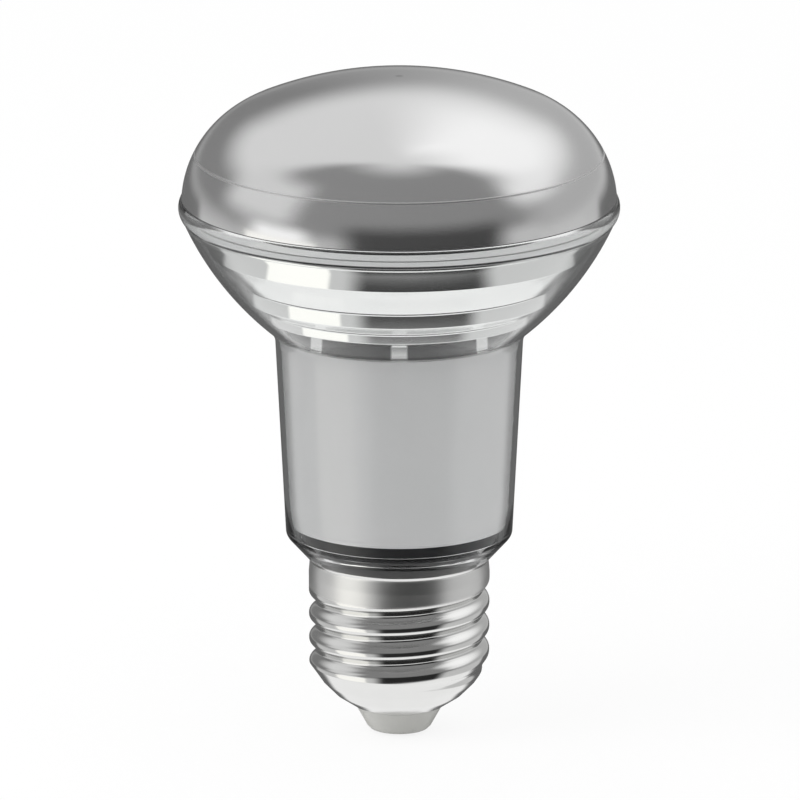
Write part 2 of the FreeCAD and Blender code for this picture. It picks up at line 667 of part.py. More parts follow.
def make_neck_sleeve(doc):
    """Metal sleeve that follows the neck, closed by a shelf with two screw bosses and two wire holes."""
    body = make_body(doc, "neck_sleeve")
    corners = [
        ("0", "shelf_base_z"),
        ("sleeve_top_r - sleeve_wall", "shelf_base_z"),
        ("sleeve_base_r - sleeve_wall", "sleeve_base_z"),
        ("sleeve_base_r", "sleeve_base_z"),
        ("sleeve_top_r", "shelf_z - sleeve_edge"),
        ("sleeve_top_r - sleeve_edge", "shelf_z"),
        ("0", "shelf_z"),
    ]
    turn(body, "sleeve_wall_and_shelf", corners)
    bosses = make_sketch(body, "boss_circles", "XY_Plane", "shelf_base_z")
    draw_circles(bosses, [("0", "screw_ring", "boss_radius"), ("0", "-screw_ring", "boss_radius")])
    raise_pad(body, "bosses", bosses, "boss_length", down=True)
    holes = make_sketch(body, "shelf_holes", "XY_Plane", "shelf_z")
    pilot = "screw_radius + screw_gap"
    draw_circles(holes, [("0", "screw_ring", pilot), ("0", "-screw_ring", pilot)])
    draw_circles(holes, [("wire_spread", "0", "wire_hole"), ("-wire_spread", "0", "wire_hole")])
    cut_through(body, "shelf_openings", holes)


def make_led_board(doc):
    """Round metal-core board with holes for its screws and wires."""
    body = make_body(doc, "led_board")
    disc = make_sketch(body, "board_disc", "XY_Plane", "light_board_z")
    hole = "screw_radius + wire_gap"
    draw_circles(disc, [("0", "0", "light_board_r"), ("0", "screw_ring", hole), ("0", "-screw_ring", hole)])
    draw_circles(disc, [("wire_spread", "0", "wire_hole"), ("-wire_spread", "0", "wire_hole")])
    raise_pad(body, "board_plate", disc, "light_board_thickness")


def make_led_chips(doc):
    """The light sources: one chamfered block, repeated round the board's axis."""
    body = make_body(doc, "led_chips")
    body.AllowCompound = True
    foot = make_sketch(body, "chip_foot", "XY_Plane", "light_face_z")
    half = "chip_side / 2"
    draw(foot, box_corners(f"chip_ring - {half}", f"chip_ring + {half}", f"-{half}", half))
    block = raise_pad(body, "chip_block", foot, "chip_height")
    doc.recompute()
    top = doc.Sizes.evalExpression(full("light_face_z + chip_height"))
    rim = [f"Edge{i}" for i, edge in enumerate(block.Shape.Edges, start=1)
           if all(abs(corner.Z - float(top)) < 1e-6 for corner in edge.Vertexes)]
    edged = body.newObject("PartDesign::Chamfer", "chip_chamfer")
    edged.Base = (block, rim)
    edged.setExpression("Size", full("chip_edge"))
    ring = body.newObject("PartDesign::PolarPattern", "chip_circle")
    ring.Originals = [block, edged]
    ring.Axis = (origin_plane(body, "Z_Axis"), [""])
    ring.Angle = 360
    ring.setExpression("Occurrences", full("chip_count"))
    body.Tip = ring


def make_board_screws(doc):
    """Two screws: shank through the board into the sleeve's boss, round head, plain recess."""
    body = make_body(doc, "board_screws")
    body.AllowCompound = True
    spots = ("screw_ring", "-screw_ring")
    shanks = make_sketch(body, "shank_circles", "XY_Plane", "light_face_z + seat_gap")
    draw_circles(shanks, [("0", spot, "screw_radius") for spot in spots])
    raise_pad(body, "shanks", shanks, "screw_length", down=True)
    heads = make_sketch(body, "head_circles", "XY_Plane", "light_face_z + seat_gap")
    draw_circles(heads, [("0", spot, "screw_head_radius") for spot in spots])
    raise_pad(body, "heads", heads, "screw_head_height")
    tops = make_sketch(body, "recess_outlines", "XY_Plane", "light_face_z + seat_gap + screw_head_height")
    for spot in spots:
        low, high = f"{spot} - screw_recess / 2", f"{spot} + screw_recess / 2"
        draw(tops, box_corners("-screw_recess", "screw_recess", low, high))
    recess = body.newObject("PartDesign::Pocket", "recesses")
    recess.Profile = tops
    recess.setExpression("Length", full("screw_head_height / 2"))


def make_led_wire(doc, label, side):
    """Wire from the driver board's top, up through the shelf and over onto the light board."""
    body = make_body(doc, label)
    near = f"{side} * wire_spread"
    far = f"{side} * wire_end"
    top = "light_face_z + wire_rise"
    way = BULGE_LEFT if side < 0 else BULGE_RIGHT
    route = [
        (near, "board_top_z + joint_gap"),
        (near, top, "wire_bend", -way),
        (f"{side} * (wire_spread + wire_bend)", f"{top} + wire_bend", "wire_bend", -way),
        (far, top),
        (far, "light_face_z + joint_gap"),
    ]
    start = ("XY_Plane", "board_top_z + joint_gap", near, "0")
    sweep(body, label + "_lead", route, "wire_radius", "XZ_Plane", start)


# Driver


def make_driver_housing(doc):
    """Insulating cup: wide in the sleeve, narrow in the cap, with ribs that hold the board's edges."""
    body = make_body(doc, "driver_housing")
    corners = [
        ("0", "housing_base"),
        ("tail_r", "housing_base"),
        ("tail_r", "housing_step_z"),
        ("housing_r", "housing_step_z"),
        ("housing_r", "housing_top_z"),
        ("housing_bore", "housing_top_z"),
        ("housing_bore", "housing_ledge_z"),
        ("tail_bore", "housing_ledge_z"),
        ("tail_bore", "housing_floor_z"),
        ("0", "housing_floor_z"),
    ]
    turn(body, "housing_cup", corners)
    ribs = make_sketch(body, "rib_outlines", "XY_Plane", "housing_ledge_z")
    near = "board_half + rib_gap"
    far = "board_half + rib_gap + rib_thickness"
    inner = "housing_bore - rib_depth"
    outer = "housing_bore + housing_wall / 2"
    for left, right in ((inner, outer), (f"-({outer})", f"-({inner})")):
        draw(ribs, box_corners(left, right, near, far))
        draw(ribs, box_corners(left, right, f"-({far})", f"-({near})"))
    raise_pad(body, "ribs", ribs, "housing_top_z - housing_ledge_z - board_top_gap")
    holes = make_sketch(body, "wire_holes", "XY_Plane", "housing_base")
    draw_circles(holes, [("0", "0", "wire_hole"), ("neutral_offset", "0", "wire_hole")])
    cut = body.newObject("PartDesign::Pocket", "wire_openings")
    cut.Profile = holes
    cut.setExpression("Length", full("2 * housing_wall"))
    cut.Reversed = True


def lead_spots():
    """Where leads go through the driver board: across and up, in the XZ plane."""
    spots = []
    for spread, height in (
        ("input_lead_spread", "input_z"),
        ("output_lead_spread", "output_z"),
        ("drum_lead_spread", "drum_z"),
        ("film_lead_spread", "film_z"),
    ):
        spots += [(spread, height), (f"-{spread}", height)]
    for side in ("-", "+"):
        spots.append(("resistor_offset", f"resistor_z {side} resistor_span / 2"))
    return spots


def make_driver_board(doc):
    """Stepped circuit board, narrow in the cap and wide in the neck, drilled for every lead."""
    body = make_body(doc, "driver_board")
    sketch = make_sketch(body, "board_outline", "XZ_Plane", "-board_half")
    corners = [
        ("-board_narrow", "board_foot_z"),
        ("board_narrow", "board_foot_z"),
        ("board_narrow", "board_step_z"),
        ("board_wide", "board_step_z"),
        ("board_wide", "board_top_z"),
        ("-board_wide", "board_top_z"),
        ("-board_wide", "board_step_z"),
        ("-board_narrow", "board_step_z"),
    ]
    draw(sketch, corners)
    draw_circles(sketch, [(across, up, "lead_hole") for across, up in lead_spots()])
    raise_pad(body, "board_plate_driver", sketch, "board_thickness")


def add_leads(body, name, spread):
    """Two straight leads under a component, as long as the board is thick."""
    sketch = make_sketch(body, name, "XY_Plane")
    draw_circles(sketch, [(spread, "0", "lead_radius"), (f"-{spread}", "0", "lead_radius")])
    raise_pad(body, name + "_pins", sketch, "lead_length", down=True)


def make_can(doc, name):
    """Electrolytic capacitor that stands off the board's front: can with a sealing groove, two leads."""
    body = make_body(doc, f"{name}_capacitor")
    radius, length = f"{name}_can_radius", f"{name}_can_length"
    corners = [
        ("0", "0"),
        (f"{radius} - can_round", "0"),
        (radius, "can_round"),
        (radius, "3 * can_round"),
        (f"{radius} - can_groove", "4 * can_round"),
        (radius, "5 * can_round"),
        (radius, f"{length} - can_round"),
        (f"{radius} - can_round", length),
        ("0", length),
    ]
    turn(body, f"{name}_can", corners)
    add_leads(body, f"{name}_leads", f"{name}_lead_spread")
    place(body, "0", "part_face", f"{name}_z", turned=-90)


def make_inductor(doc):
    """Ferrite drum and the winding between its flanges, on the board's back."""
    core = make_body(doc, "inductor_core")
    corners = [
        ("0", "0"),
        ("drum_radius", "0"),
        ("drum_radius", "drum_flange"),
        ("drum_core_radius", "drum_flange"),
        ("drum_core_radius", "drum_length - drum_flange"),
        ("drum_radius", "drum_length - drum_flange"),
        ("drum_radius", "drum_length"),
        ("0", "drum_length"),
    ]
    turn(core, "drum", corners)
    add_leads(core, "drum_leads", "drum_lead_spread")
    place(core, "0", "-part_face", "drum_z", turned=90)
    winding = make_body(doc, "inductor_winding")
    inner, outer = "drum_core_radius + winding_gap", "drum_radius - winding_inset"
    low, high = "drum_flange + winding_gap", "drum_length - drum_flange - winding_gap"
    turn(winding, "coil", box_corners(inner, outer, low, high))
    place(winding, "0", "-part_face", "drum_z", turned=90)


def make_film_capacitor(doc):
    """Moulded film capacitor on the board's back, its outer edges chamfered in outline."""
    body = make_body(doc, "film_capacitor")
    case = make_sketch(body, "film_outline", "XZ_Plane", "-film_height / 2")
    half = "film_width / 2"
    corners = [
        (f"-{half}", "0"),
        (half, "0"),
        (half, "film_depth - film_edge"),
        (f"{half} - film_edge", "film_depth"),
        (f"film_edge - {half}", "film_depth"),
        (f"-{half}", "film_depth - film_edge"),
    ]
    draw(case, corners)
    raise_pad(body, "film_case", case, "film_height")
    add_leads(body, "film_leads", "film_lead_spread")
    place(body, "0", "-part_face", "film_z", turned=90)


def make_chip(doc, label, name, pins, height):
    """Flat package on the board's back, with a row of pins along each side."""
    body = make_body(doc, label)
    foot = make_sketch(body, label + "_foot", "XY_Plane")
    wide, tall = f"{name}_width / 2", f"{name}_height / 2"
    draw(foot, box_corners(f"-{wide}", wide, f"-{tall}", tall))
    raise_pad(body, label + "_case", foot, f"{name}_depth")
    feet = make_sketch(body, label + "_feet", "XY_Plane")
    for pin in range(pins):
        middle = f"{name}_height * {(pin + 0.5) / pins - 0.5}"
        low, high = f"{middle} - pin_width / 2", f"{middle} + pin_width / 2"
        draw(feet, box_corners(wide, f"{wide} + pin_length", low, high))
        draw(feet, box_corners(f"-{wide} - pin_length", f"-{wide}", low, high))
    raise_pad(body, label + "_pins", feet, "pin_thickness")
    place(body, "0", "-part_face", height, turned=90)


def make_fusible_resistor(doc):
    """Axial resistor beside the board's front: one bent lead through a beaded body."""
    body = make_body(doc, "fusible_resistor")
    low, high = "-resistor_span / 2", "resistor_span / 2"
    out = "resistor_height"
    route = [
        ("-lead_length", low),
        (f"{out} - resistor_bend", low, "resistor_bend", BULGE_RIGHT),
        (out, f"{low} + resistor_bend"),
        (out, f"{high} - resistor_bend", "resistor_bend", BULGE_RIGHT),
        (f"{out} - resistor_bend", high),
        ("-lead_length", high),
    ]
    sweep(body, "resistor_lead", route, "lead_radius", "YZ_Plane", ("XZ_Plane", "lead_length", "0", low))
    half = "resistor_length / 2"
    skin = make_sketch(body, "resistor_outline", "YZ_Plane")
    corners = [
        (out, f"-{half}"),
        (f"{out} + resistor_radius", f"-{half}"),
        (f"{out} + resistor_radius", f"resistor_bead - {half}"),
        (f"{out} + resistor_waist", f"1.25 * resistor_bead - {half}"),
        (f"{out} + resistor_waist", f"{half} - 1.25 * resistor_bead"),
        (f"{out} + resistor_radius", f"{half} - resistor_bead"),
        (f"{out} + resistor_radius", half),
        (out, half),
    ]
    draw(skin, corners)
    shaft = body.newObject("PartDesign::Revolution", "resistor_beads")
    shaft.Profile = skin
    shaft.ReferenceAxis = (skin, ["Edge8"])
    shaft.Angle = 360
    place(body, "resistor_offset", "part_face", "resistor_z")


def make_cap_wires(doc):
    """Live wire down the axis into the contact's stem, and neutral wire across to the cap's cone."""
    live = make_body(doc, "live_wire")
    section = make_sketch(live, "live_section", "XY_Plane", "contact_height + live_depth")
    draw_circles(section, [("0", "0", "wire_radius")])
    raise_pad(live, "live_lead", section, "board_foot_z - joint_gap - contact_height - live_depth")
    neutral = make_body(doc, "neutral_wire")
    route = [
        ("neutral_offset", "board_foot_z - joint_gap"),
        ("neutral_offset", "neutral_z + neutral_bend", "neutral_bend", BULGE_RIGHT),
        ("neutral_offset + neutral_bend", "neutral_z"),
        ("root_radius - cap_wall - wire_gap", "neutral_z"),
    ]
    start = ("XY_Plane", "board_foot_z - joint_gap", "neutral_offset", "0")
    sweep(neutral, "neutral_lead", route, "wire_radius", "XZ_Plane", start)


def check(doc, bodies):
    """Stops on any feature that failed and on any sub-part without a sound solid."""
    for item in doc.Objects:
        if "Invalid" in item.State or "Error" in item.State:
            raise RuntimeError(f"{item.Name} failed: {item.State}")
    for body in bodies:
        if body.Shape.isNull() or not body.Shape.isValid() or not body.Shape.Solids:
            raise RuntimeError(f"{body.Label} has no sound solid")


def build():
    """Makes the document, its sizes and every sub-part, and returns the sub-parts."""
    doc = FreeCAD.newDocument("ReflectorLamp")
    make_sizes(doc)
    make_cap_shell(doc)
    make_cap_insulator(doc)
    make_centre_contact(doc)
    make_outer_body(doc)
    make_front_cover(doc)
    make_reflector(doc)
    make_neck_sleeve(doc)
    make_led_board(doc)
    make_led_chips(doc)
    make_board_screws(doc)
    make_led_wire(doc, "led_wire_positive", 1)
    make_led_wire(doc, "led_wire_negative", -1)
    make_driver_housing(doc)
    make_driver_board(doc)
    make_can(doc, "input")
    make_can(doc, "output")
    make_inductor(doc)
    make_film_capacitor(doc)
    make_chip(doc, "bridge_rectifier", "bridge", 2, "bridge_z")
    make_chip(doc, "driver_chip", "driver_chip", 4, "driver_chip_z")
    make_fusible_resistor(doc)
    make_cap_wires(doc)
    doc.recompute()
    bodies = [item for item in doc.Objects if item.TypeId == "PartDesign::Body"]
    check(doc, bodies)
    return bodies


def export(bodies):
    """Writes each sub-part to its own file."""
    os.makedirs("parts", exist_ok=True)
    for body in bodies:
        body.Shape.exportStep(f"parts/{body.Label}.step")


export(build())
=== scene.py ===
import logging
import math
from dataclasses import dataclass, field
from enum import Enum

import bmesh
import bpy
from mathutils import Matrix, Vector


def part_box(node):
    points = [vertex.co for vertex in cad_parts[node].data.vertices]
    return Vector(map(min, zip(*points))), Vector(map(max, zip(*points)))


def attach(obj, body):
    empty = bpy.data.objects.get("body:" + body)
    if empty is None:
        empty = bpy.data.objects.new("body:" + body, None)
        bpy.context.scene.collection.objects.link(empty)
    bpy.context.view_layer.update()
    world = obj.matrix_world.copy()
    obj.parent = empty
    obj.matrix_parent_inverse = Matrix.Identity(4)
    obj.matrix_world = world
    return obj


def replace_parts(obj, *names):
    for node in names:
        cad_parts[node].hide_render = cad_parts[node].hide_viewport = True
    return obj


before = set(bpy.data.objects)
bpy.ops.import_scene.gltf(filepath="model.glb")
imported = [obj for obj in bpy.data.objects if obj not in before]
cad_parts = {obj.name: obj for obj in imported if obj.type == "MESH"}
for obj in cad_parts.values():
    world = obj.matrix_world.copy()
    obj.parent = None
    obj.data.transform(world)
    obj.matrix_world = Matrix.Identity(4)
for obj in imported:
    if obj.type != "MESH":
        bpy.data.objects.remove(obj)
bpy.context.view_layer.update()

LOG = logging.getLogger("reflector_lamp")
MM = 0.001
ROUND = 2 * math.pi

Colour = tuple[float, float, float]
Corners = list[tuple[float, float, int]]

SAME_SPOT = 1e-7
SEAT_GAP = 0.05
NOISE_DETAIL = 3.0
WHITE_LACQUER: Colour = (0.95, 0.95, 0.95)


def top_of(node: str) -> float:
    """Height of a CAD node's upper end, in millimetres."""
    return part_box(node)[1].z / MM


class Bulge(Enum):
    """The side to which an arc of an outline bulges, as seen along the way it is drawn."""

    LEFT = 1
    RIGHT = -1


class Outline:
    """Half an outline in the XZ plane, in millimetres, drawn by corners and turned about the Z axis."""

    def __init__(self, radius: float, height: float) -> None:
        """Starts the outline at a corner.

        Args:
            radius: Distance from the axis.
            height: Height above the origin.
        """
        self.mesh = bmesh.new()
        self.first = bmesh.ops.create_vert(self.mesh, co=(radius * MM, 0, height * MM))["vert"][0]
        self.last = self.first

    def line(self, radius: float, height: float, steps: int = 1) -> "Outline":
        """Draws a straight stretch.

        Args:
            radius: Where it ends, from the axis.
            height: Where it ends, above the origin.
            steps: Pieces that it is divided into.

        Returns:
            The outline itself, so that stretches can be strung together.
        """
        run = (Vector((radius * MM, 0, height * MM)) - self.last.co) / steps
        for _ in range(steps):
            self.last = bmesh.ops.extrude_vert_indiv(self.mesh, verts=[self.last])["verts"][0]
            bmesh.ops.translate(self.mesh, verts=[self.last], vec=run)
        return self

    def arc(self, radius: float, height: float, curve: float, bulge: Bulge, steps: int) -> "Outline":
        """Draws a round stretch.

        Args:
            radius: Where it ends, from the axis.
            height: Where it ends, above the origin.
            curve: The arc's own radius.
            bulge: The side that it bulges to.
            steps: Pieces that it is divided into.

        Returns:
            The outline itself.
        """
        begin, end = self.last.co.copy(), Vector((radius * MM, 0, height * MM))
        along = end - begin
        left = Vector((-along.z, 0, along.x)).normalized()
        reach = math.sqrt((curve * MM) ** 2 - (along.length / 2) ** 2)
        centre = (begin + end) / 2 - left * reach * bulge.value
        angle = 2 * math.asin(along.length / 2 / (curve * MM)) * bulge.value
        swept = bmesh.ops.spin(
            self.mesh, geom=[self.last], cent=centre, axis=(0, 1, 0), dvec=(0, 0, 0), angle=angle,
            steps=steps,
        )
        self.last = next(item for item in swept["geom_last"] if isinstance(item, bmesh.types.BMVert))
        return self

    def turned(self, segments: int, soften: float = 0.0) -> bmesh.types.BMesh:
        """Joins the outline's end to its start and turns it once about the Z axis.

        Args:
            segments: Divisions round the axis.
            soften: Width of the bevel on every ring where the outline turns sharply, or 0 for none.

        Returns:
            A closed mesh with its faces pointing outwards.
        """
        self.mesh.edges.new((self.last, self.first))
        geometry = self.mesh.verts[:] + self.mesh.edges[:]
        bmesh.ops.spin(
            self.mesh, geom=geometry, cent=(0, 0, 0), axis=(0, 0, 1), dvec=(0, 0, 0),
            angle=ROUND, steps=segments, use_merge=True,
        )
        bmesh.ops.remove_doubles(self.mesh, verts=self.mesh.verts, dist=SAME_SPOT)
        bmesh.ops.recalc_face_normals(self.mesh, faces=self.mesh.faces)
        if soften:
            soften_edges(self.mesh, soften)
        return self.mesh


def soften_edges(mesh: bmesh.types.BMesh, width: float, turn: float = 25.0, segments: int = 2) -> None:
    """Bevels the sharp edges of a mesh.

    Args:
        mesh: The mesh to change.
        width: Width of the bevel, in millimetres.
        turn: Degrees between two faces from which their edge counts as sharp.
        segments: Faces across each bevel.
    """
    least = math.radians(turn)
    sharp = [edge for edge in mesh.edges if edge.is_manifold and edge.calc_face_angle() > least]
    bmesh.ops.bevel(
        mesh, geom=sharp, offset=width * MM, offset_type="OFFSET", affect="EDGES", segments=segments,
        profile=0.5, material=-1, clamp_overlap=True,
    )


class Value:
    """A number in a shader. Python's operators on it add Math nodes."""

    def __init__(self, graph: "Graph", socket: bpy.types.NodeSocket) -> None:
        """Wraps a socket of a graph."""
        self.graph = graph
        self.socket = socket

    def math(self, operation: str, *others: "Value | float") -> "Value":
        """Adds a Math node that starts from this value.

        Args:
            operation: The node's operation.
            others: The node's further numbers.

        Returns:
            The node's result.
        """
        inputs = dict(enumerate((self, *others)))
        return self.graph.node("ShaderNodeMath", inputs, operation=operation)

    def __add__(self, other: "Value | float") -> "Value":
        """This value plus another."""
        return self.math("ADD", other)

    def __sub__(self, other: "Value | float") -> "Value":
        """This value minus another."""
        return self.math("SUBTRACT", other)

    def __rsub__(self, other: float) -> "Value":
        """A number minus this value."""
        return (self * -1) + other

    def __mul__(self, other: "Value | float") -> "Value":
        """This value times another."""
        return self.math("MULTIPLY", other)

    def __truediv__(self, other: "Value | float") -> "Value":
        """This value over another."""
        return self.math("DIVIDE", other)

    __radd__ = __add__
    __rmul__ = __mul__

    def smooth(self, low: float, high: float) -> "Value":
        """A soft step: 0 where this value is at low, 1 where it is at high."""
        inputs = {"Value": self, "From Min": low, "From Max": high}
        return self.graph.node("ShaderNodeMapRange", inputs, interpolation_type="SMOOTHSTEP")

    def between(self, low: float, high: float, blur: float) -> "Value":
        """1 where this value lies between two others, 0 outside, with a soft edge at each."""
        half = blur / 2
        return self.smooth(low - half, low + half) * (1 - self.smooth(high - half, high + half))


class Graph:
    """Adds nodes to a material's or a world's tree."""

    def __init__(self, tree: bpy.types.NodeTree) -> None:
        """Starts from an empty tree."""
        self.tree = tree
        tree.nodes.clear()

    def node(
        self, kind: str, inputs: dict | None = None, output: int | str = 0, **settings: object
    ) -> Value:
        """Adds a node.

        Args:
            kind: The node's type.
            inputs: Value or link of each input that isn't left at its default.
            output: The output to return.
            settings: The node's own settings, set before its inputs.

        Returns:
            The chosen output.
        """
        node = self.tree.nodes.new(kind)
        for name, setting in settings.items():
            setattr(node, name, setting)
        for key, value in (inputs or {}).items():
            if isinstance(value, Value):
                self.tree.links.new(value.socket, node.inputs[key])
            else:
                node.inputs[key].default_value = value
        return Value(self, node.outputs[output] if len(node.outputs) else None)

    def mix(self, factor: Value, first: "Value | Colour", second: "Value | Colour") -> Value:
        """Adds a colour between two.

        Args:
            factor: 0 for the first colour, 1 for the second.
            first: The colour at 0.
            second: The colour at 1.

        Returns:
            The mixed colour.
        """
        colours = [part if isinstance(part, Value) else (*part, 1) for part in (first, second)]
        inputs = {0: factor, 6: colours[0], 7: colours[1]}
        return self.node("ShaderNodeMix", inputs, output=2, data_type="RGBA")

    def place(self, scale: tuple[float, float, float] = (1, 1, 1)) -> Value:
        """The point's place on its piece, in metres, stretched along each axis."""
        spot = self.node("ShaderNodeTexCoord", output="Object")
        return self.node("ShaderNodeMapping", {"Vector": spot, "Scale": scale})

    def axis(self, vector: Value, name: str) -> Value:
        """One component of a vector."""
        return self.node("ShaderNodeSeparateXYZ", {0: vector}, output=name)

    def height(self) -> Value:
        """Height above the lamp's origin, in millimetres."""
        return self.axis(self.place(), "Z") / MM

    def heading(self) -> Value:
        """Angle round the lamp's axis, in radians from the side that faces the camera."""
        spot = self.place()
        return self.axis(spot, "X").math("ARCTAN2", self.axis(spot, "Y") * -1)

    def noise(self, size: float, stretch: tuple[float, float, float] = (1, 1, 1)) -> Value:
        """Soft noise from 0 to 1.

        Args:
            size: Width of its spots, in millimetres.
            stretch: How much tighter it runs along each axis.

        Returns:
            The noise.
        """
        inputs = {"Vector": self.place(stretch), "Scale": 1 / (size * MM), "Detail": NOISE_DETAIL}
        return self.node("ShaderNodeTexNoise", inputs)


class Grain(Enum):
    """How a finish's fine surface runs."""

    MOULDED = (1.0, 1.0, 1.0)
    TURNED = (0.02, 0.02, 1.0)
    SCRATCHED = (0.05, 0.05, 1.0)


@dataclass(frozen=True)
class Finish:
    """A procedural material. Sizes are in millimetres."""

    name: str
    colour: Colour
    roughness: float
    metallic: float = 0.0
    mottle: float = 0.06
    mottle_size: float = 4.0
    gloss_change: float = 0.08
    grain: Grain = Grain.MOULDED
    grain_size: float = 0.25
    grain_depth: float = 0.01
    coat: float = 0.0
    coat_roughness: float = 0.05
    transmission: float = 0.0
    ior: float = 1.5
    reflection: float = 1.0

    def colour_map(self, graph: Graph) -> Value:
        """The colour, a little lighter and darker in soft spots.

        Args:
            graph: The material's graph.

        Returns:
            The colour over the surface.
        """
        dark = tuple(part * (1 - self.mottle) for part in self.colour)
        light = tuple(min(1.0, part * (1 + self.mottle)) for part in self.colour)
        return graph.mix(graph.noise(self.mottle_size), dark, light)

    def roughness_map(self, graph: Graph) -> Value:
        """The roughness, varied by the same kind of spots at half their size."""
        spots = graph.noise(self.mottle_size / 2) - 0.5
        return spots * self.gloss_change + self.roughness

    def metallic_map(self, graph: Graph) -> "Value | float":
        """How metallic the surface is."""
        return self.metallic

    def height_map(self, graph: Graph) -> Value:
        """The fine surface, from 0 to 1."""
        return graph.noise(self.grain_size, stretch=self.grain.value)

    def material(self) -> bpy.types.Material:
        """The Blender material, made once for each finish.

        Returns:
            The material with this finish's name.
        """
        made = bpy.data.materials.get(self.name)
        if made:
            return made
        made = bpy.data.materials.new(self.name)
        made.use_nodes = True
        graph = Graph(made.node_tree)
        bump = {"Height": self.height_map(graph), "Distance": self.grain_depth * MM, "Strength": 1.0}
        inputs = {
            "Base Color": self.colour_map(graph),
            "Roughness": self.roughness_map(graph),
            "Metallic": self.metallic_map(graph),
            "Normal": graph.node("ShaderNodeBump", bump),
            "IOR": self.ior,
            "Specular Tint": (self.reflection, self.reflection, self.reflection, 1),
            "Coat Weight": self.coat,
            "Coat Roughness": self.coat_roughness,
            "Transmission Weight": self.transmission,
        }
        surface = graph.node("ShaderNodeBsdfPrincipled", inputs)
        graph.node("ShaderNodeOutputMaterial", {"Surface": surface})
        return made


def make_piece(
    name: str, mesh: bmesh.types.BMesh, finish: Finish, smooth: float = 30.0
) -> bpy.types.Object:
    """Makes an object of a finished mesh, at the origin, and lets it ride with the lamp.

    Args:
        name: The piece's name.
        mesh: Its mesh, in metres in the lamp's frame. It is freed.
        finish: Its finish.
        smooth: Degrees up to which an edge is shaded smooth.

    Returns:
        The new object.
    """
    data = bpy.data.meshes.new(name)
    for face in mesh.faces:
        face.smooth = True
    mesh.to_mesh(data)
    mesh.free()
    data.set_sharp_from_angle(angle=math.radians(smooth))
    data.materials.append(finish.material())
    piece = bpy.data.objects.new(name, data)
    bpy.context.scene.collection.objects.link(piece)
    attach(piece, "root")
    LOG.info("made %s with %d faces", name, len(data.polygons))
    return piece


def dress(node: str, finish: Finish) -> None:
    """Gives a CAD node its finish.

    Args:
        node: The node's name.
        finish: Its finish.
    """
    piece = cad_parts[node]
    piece.data.materials.clear()
    piece.data.materials.append(finish.material())
    LOG.info("dressed %s in %s", node, finish.name)


# Form that the clear body, the bowl and the sleeve share


@dataclass
class LampForm:
    """Outside of the clear body, worked out from its foot upwards, in millimetres and degrees."""

    base_z: float
    foot_radius: float = 13.4
    foot_slope: float = 42.0
    foot_round: float = 1.2
    neck_base_radius: float = 16.39
    neck_slope: float = 2.95
    neck_length: float = 28.2
    neck_fillet: float = 3.0
    bell_curve: float = 45.0
    bell_base_slope: float = 50.0
    bell_top_slope: float = 24.0
    wall: float = 0.7
    lip_flare: float = 0.24
    lip_height: float = 2.86
    lip_curve: float = 2.3
    lip_wall: float = 1.0

    def __post_init__(self) -> None:
        """Works out each corner as a (radius, height) pair."""
        neck, foot = math.radians(self.neck_slope), math.radians(self.foot_slope)
        base, top = math.radians(self.bell_base_slope), math.radians(self.bell_top_slope)
        foot_top_r = self.neck_base_radius - self.foot_round * (math.cos(neck) - math.cos(foot))
        self.foot_top = (foot_top_r, self.base_z + (foot_top_r - self.foot_radius) / math.tan(foot))
        self.neck_base = (
            self.neck_base_radius,
            self.foot_top[1] + self.foot_round * (math.sin(foot) - math.sin(neck)),
        )
        self.neck_top = (
            self.neck_base_radius + self.neck_length * math.tan(neck),
            self.neck_base[1] + self.neck_length,
        )
        self.bell_base = (
            self.neck_top[0] + self.neck_fillet * (math.cos(neck) - math.cos(base)),
            self.neck_top[1] + self.neck_fillet * (math.sin(base) - math.sin(neck)),
        )
        self.bell_centre = (
            self.bell_base[0] - self.bell_curve * math.cos(base),
            self.bell_base[1] + self.bell_curve * math.sin(base),
        )
        self.bell_top = (
            self.bell_centre[0] + self.bell_curve * math.cos(top),
            self.bell_centre[1] - self.bell_curve * math.sin(top),
        )
        self.rim = (self.bell_top[0] + self.lip_flare, self.bell_top[1] + self.lip_height)

    def inside(self, corner: tuple[float, float], slope: float) -> tuple[float, float]:
        """The inner wall's corner beside an outer one, where the wall has a slope in degrees."""
        lean = math.radians(slope)
        return corner[0] - self.wall * math.cos(lean), corner[1] + self.wall * math.sin(lean)

    def bore_at(self, height: float) -> float:
        """Inner radius of the bell at a height."""
        curve = self.bell_curve - self.wall
        return self.bell_centre[0] + math.sqrt(curve**2 - (self.bell_centre[1] - height) ** 2)


# Clear body and cover


@dataclass(frozen=True)
class ClearGlass(Finish):
    """Clear glass with a faint wave in its surface."""

    cool: Colour = (0.97, 0.985, 0.98)
    streak_size: float = 12.0
    haze_size: float = 9.0
    haze: tuple[float, float] = (0.55, 0.9)

    def colour_map(self, graph: Graph) -> Value:
        """Nearly white, faintly cooler in soft streaks."""
        return graph.mix(graph.noise(self.streak_size), self.colour, self.cool)

    def roughness_map(self, graph: Graph) -> Value:
        """Clear, with a trace of haze in spots."""
        return graph.noise(self.haze_size).smooth(*self.haze) * self.gloss_change + self.roughness


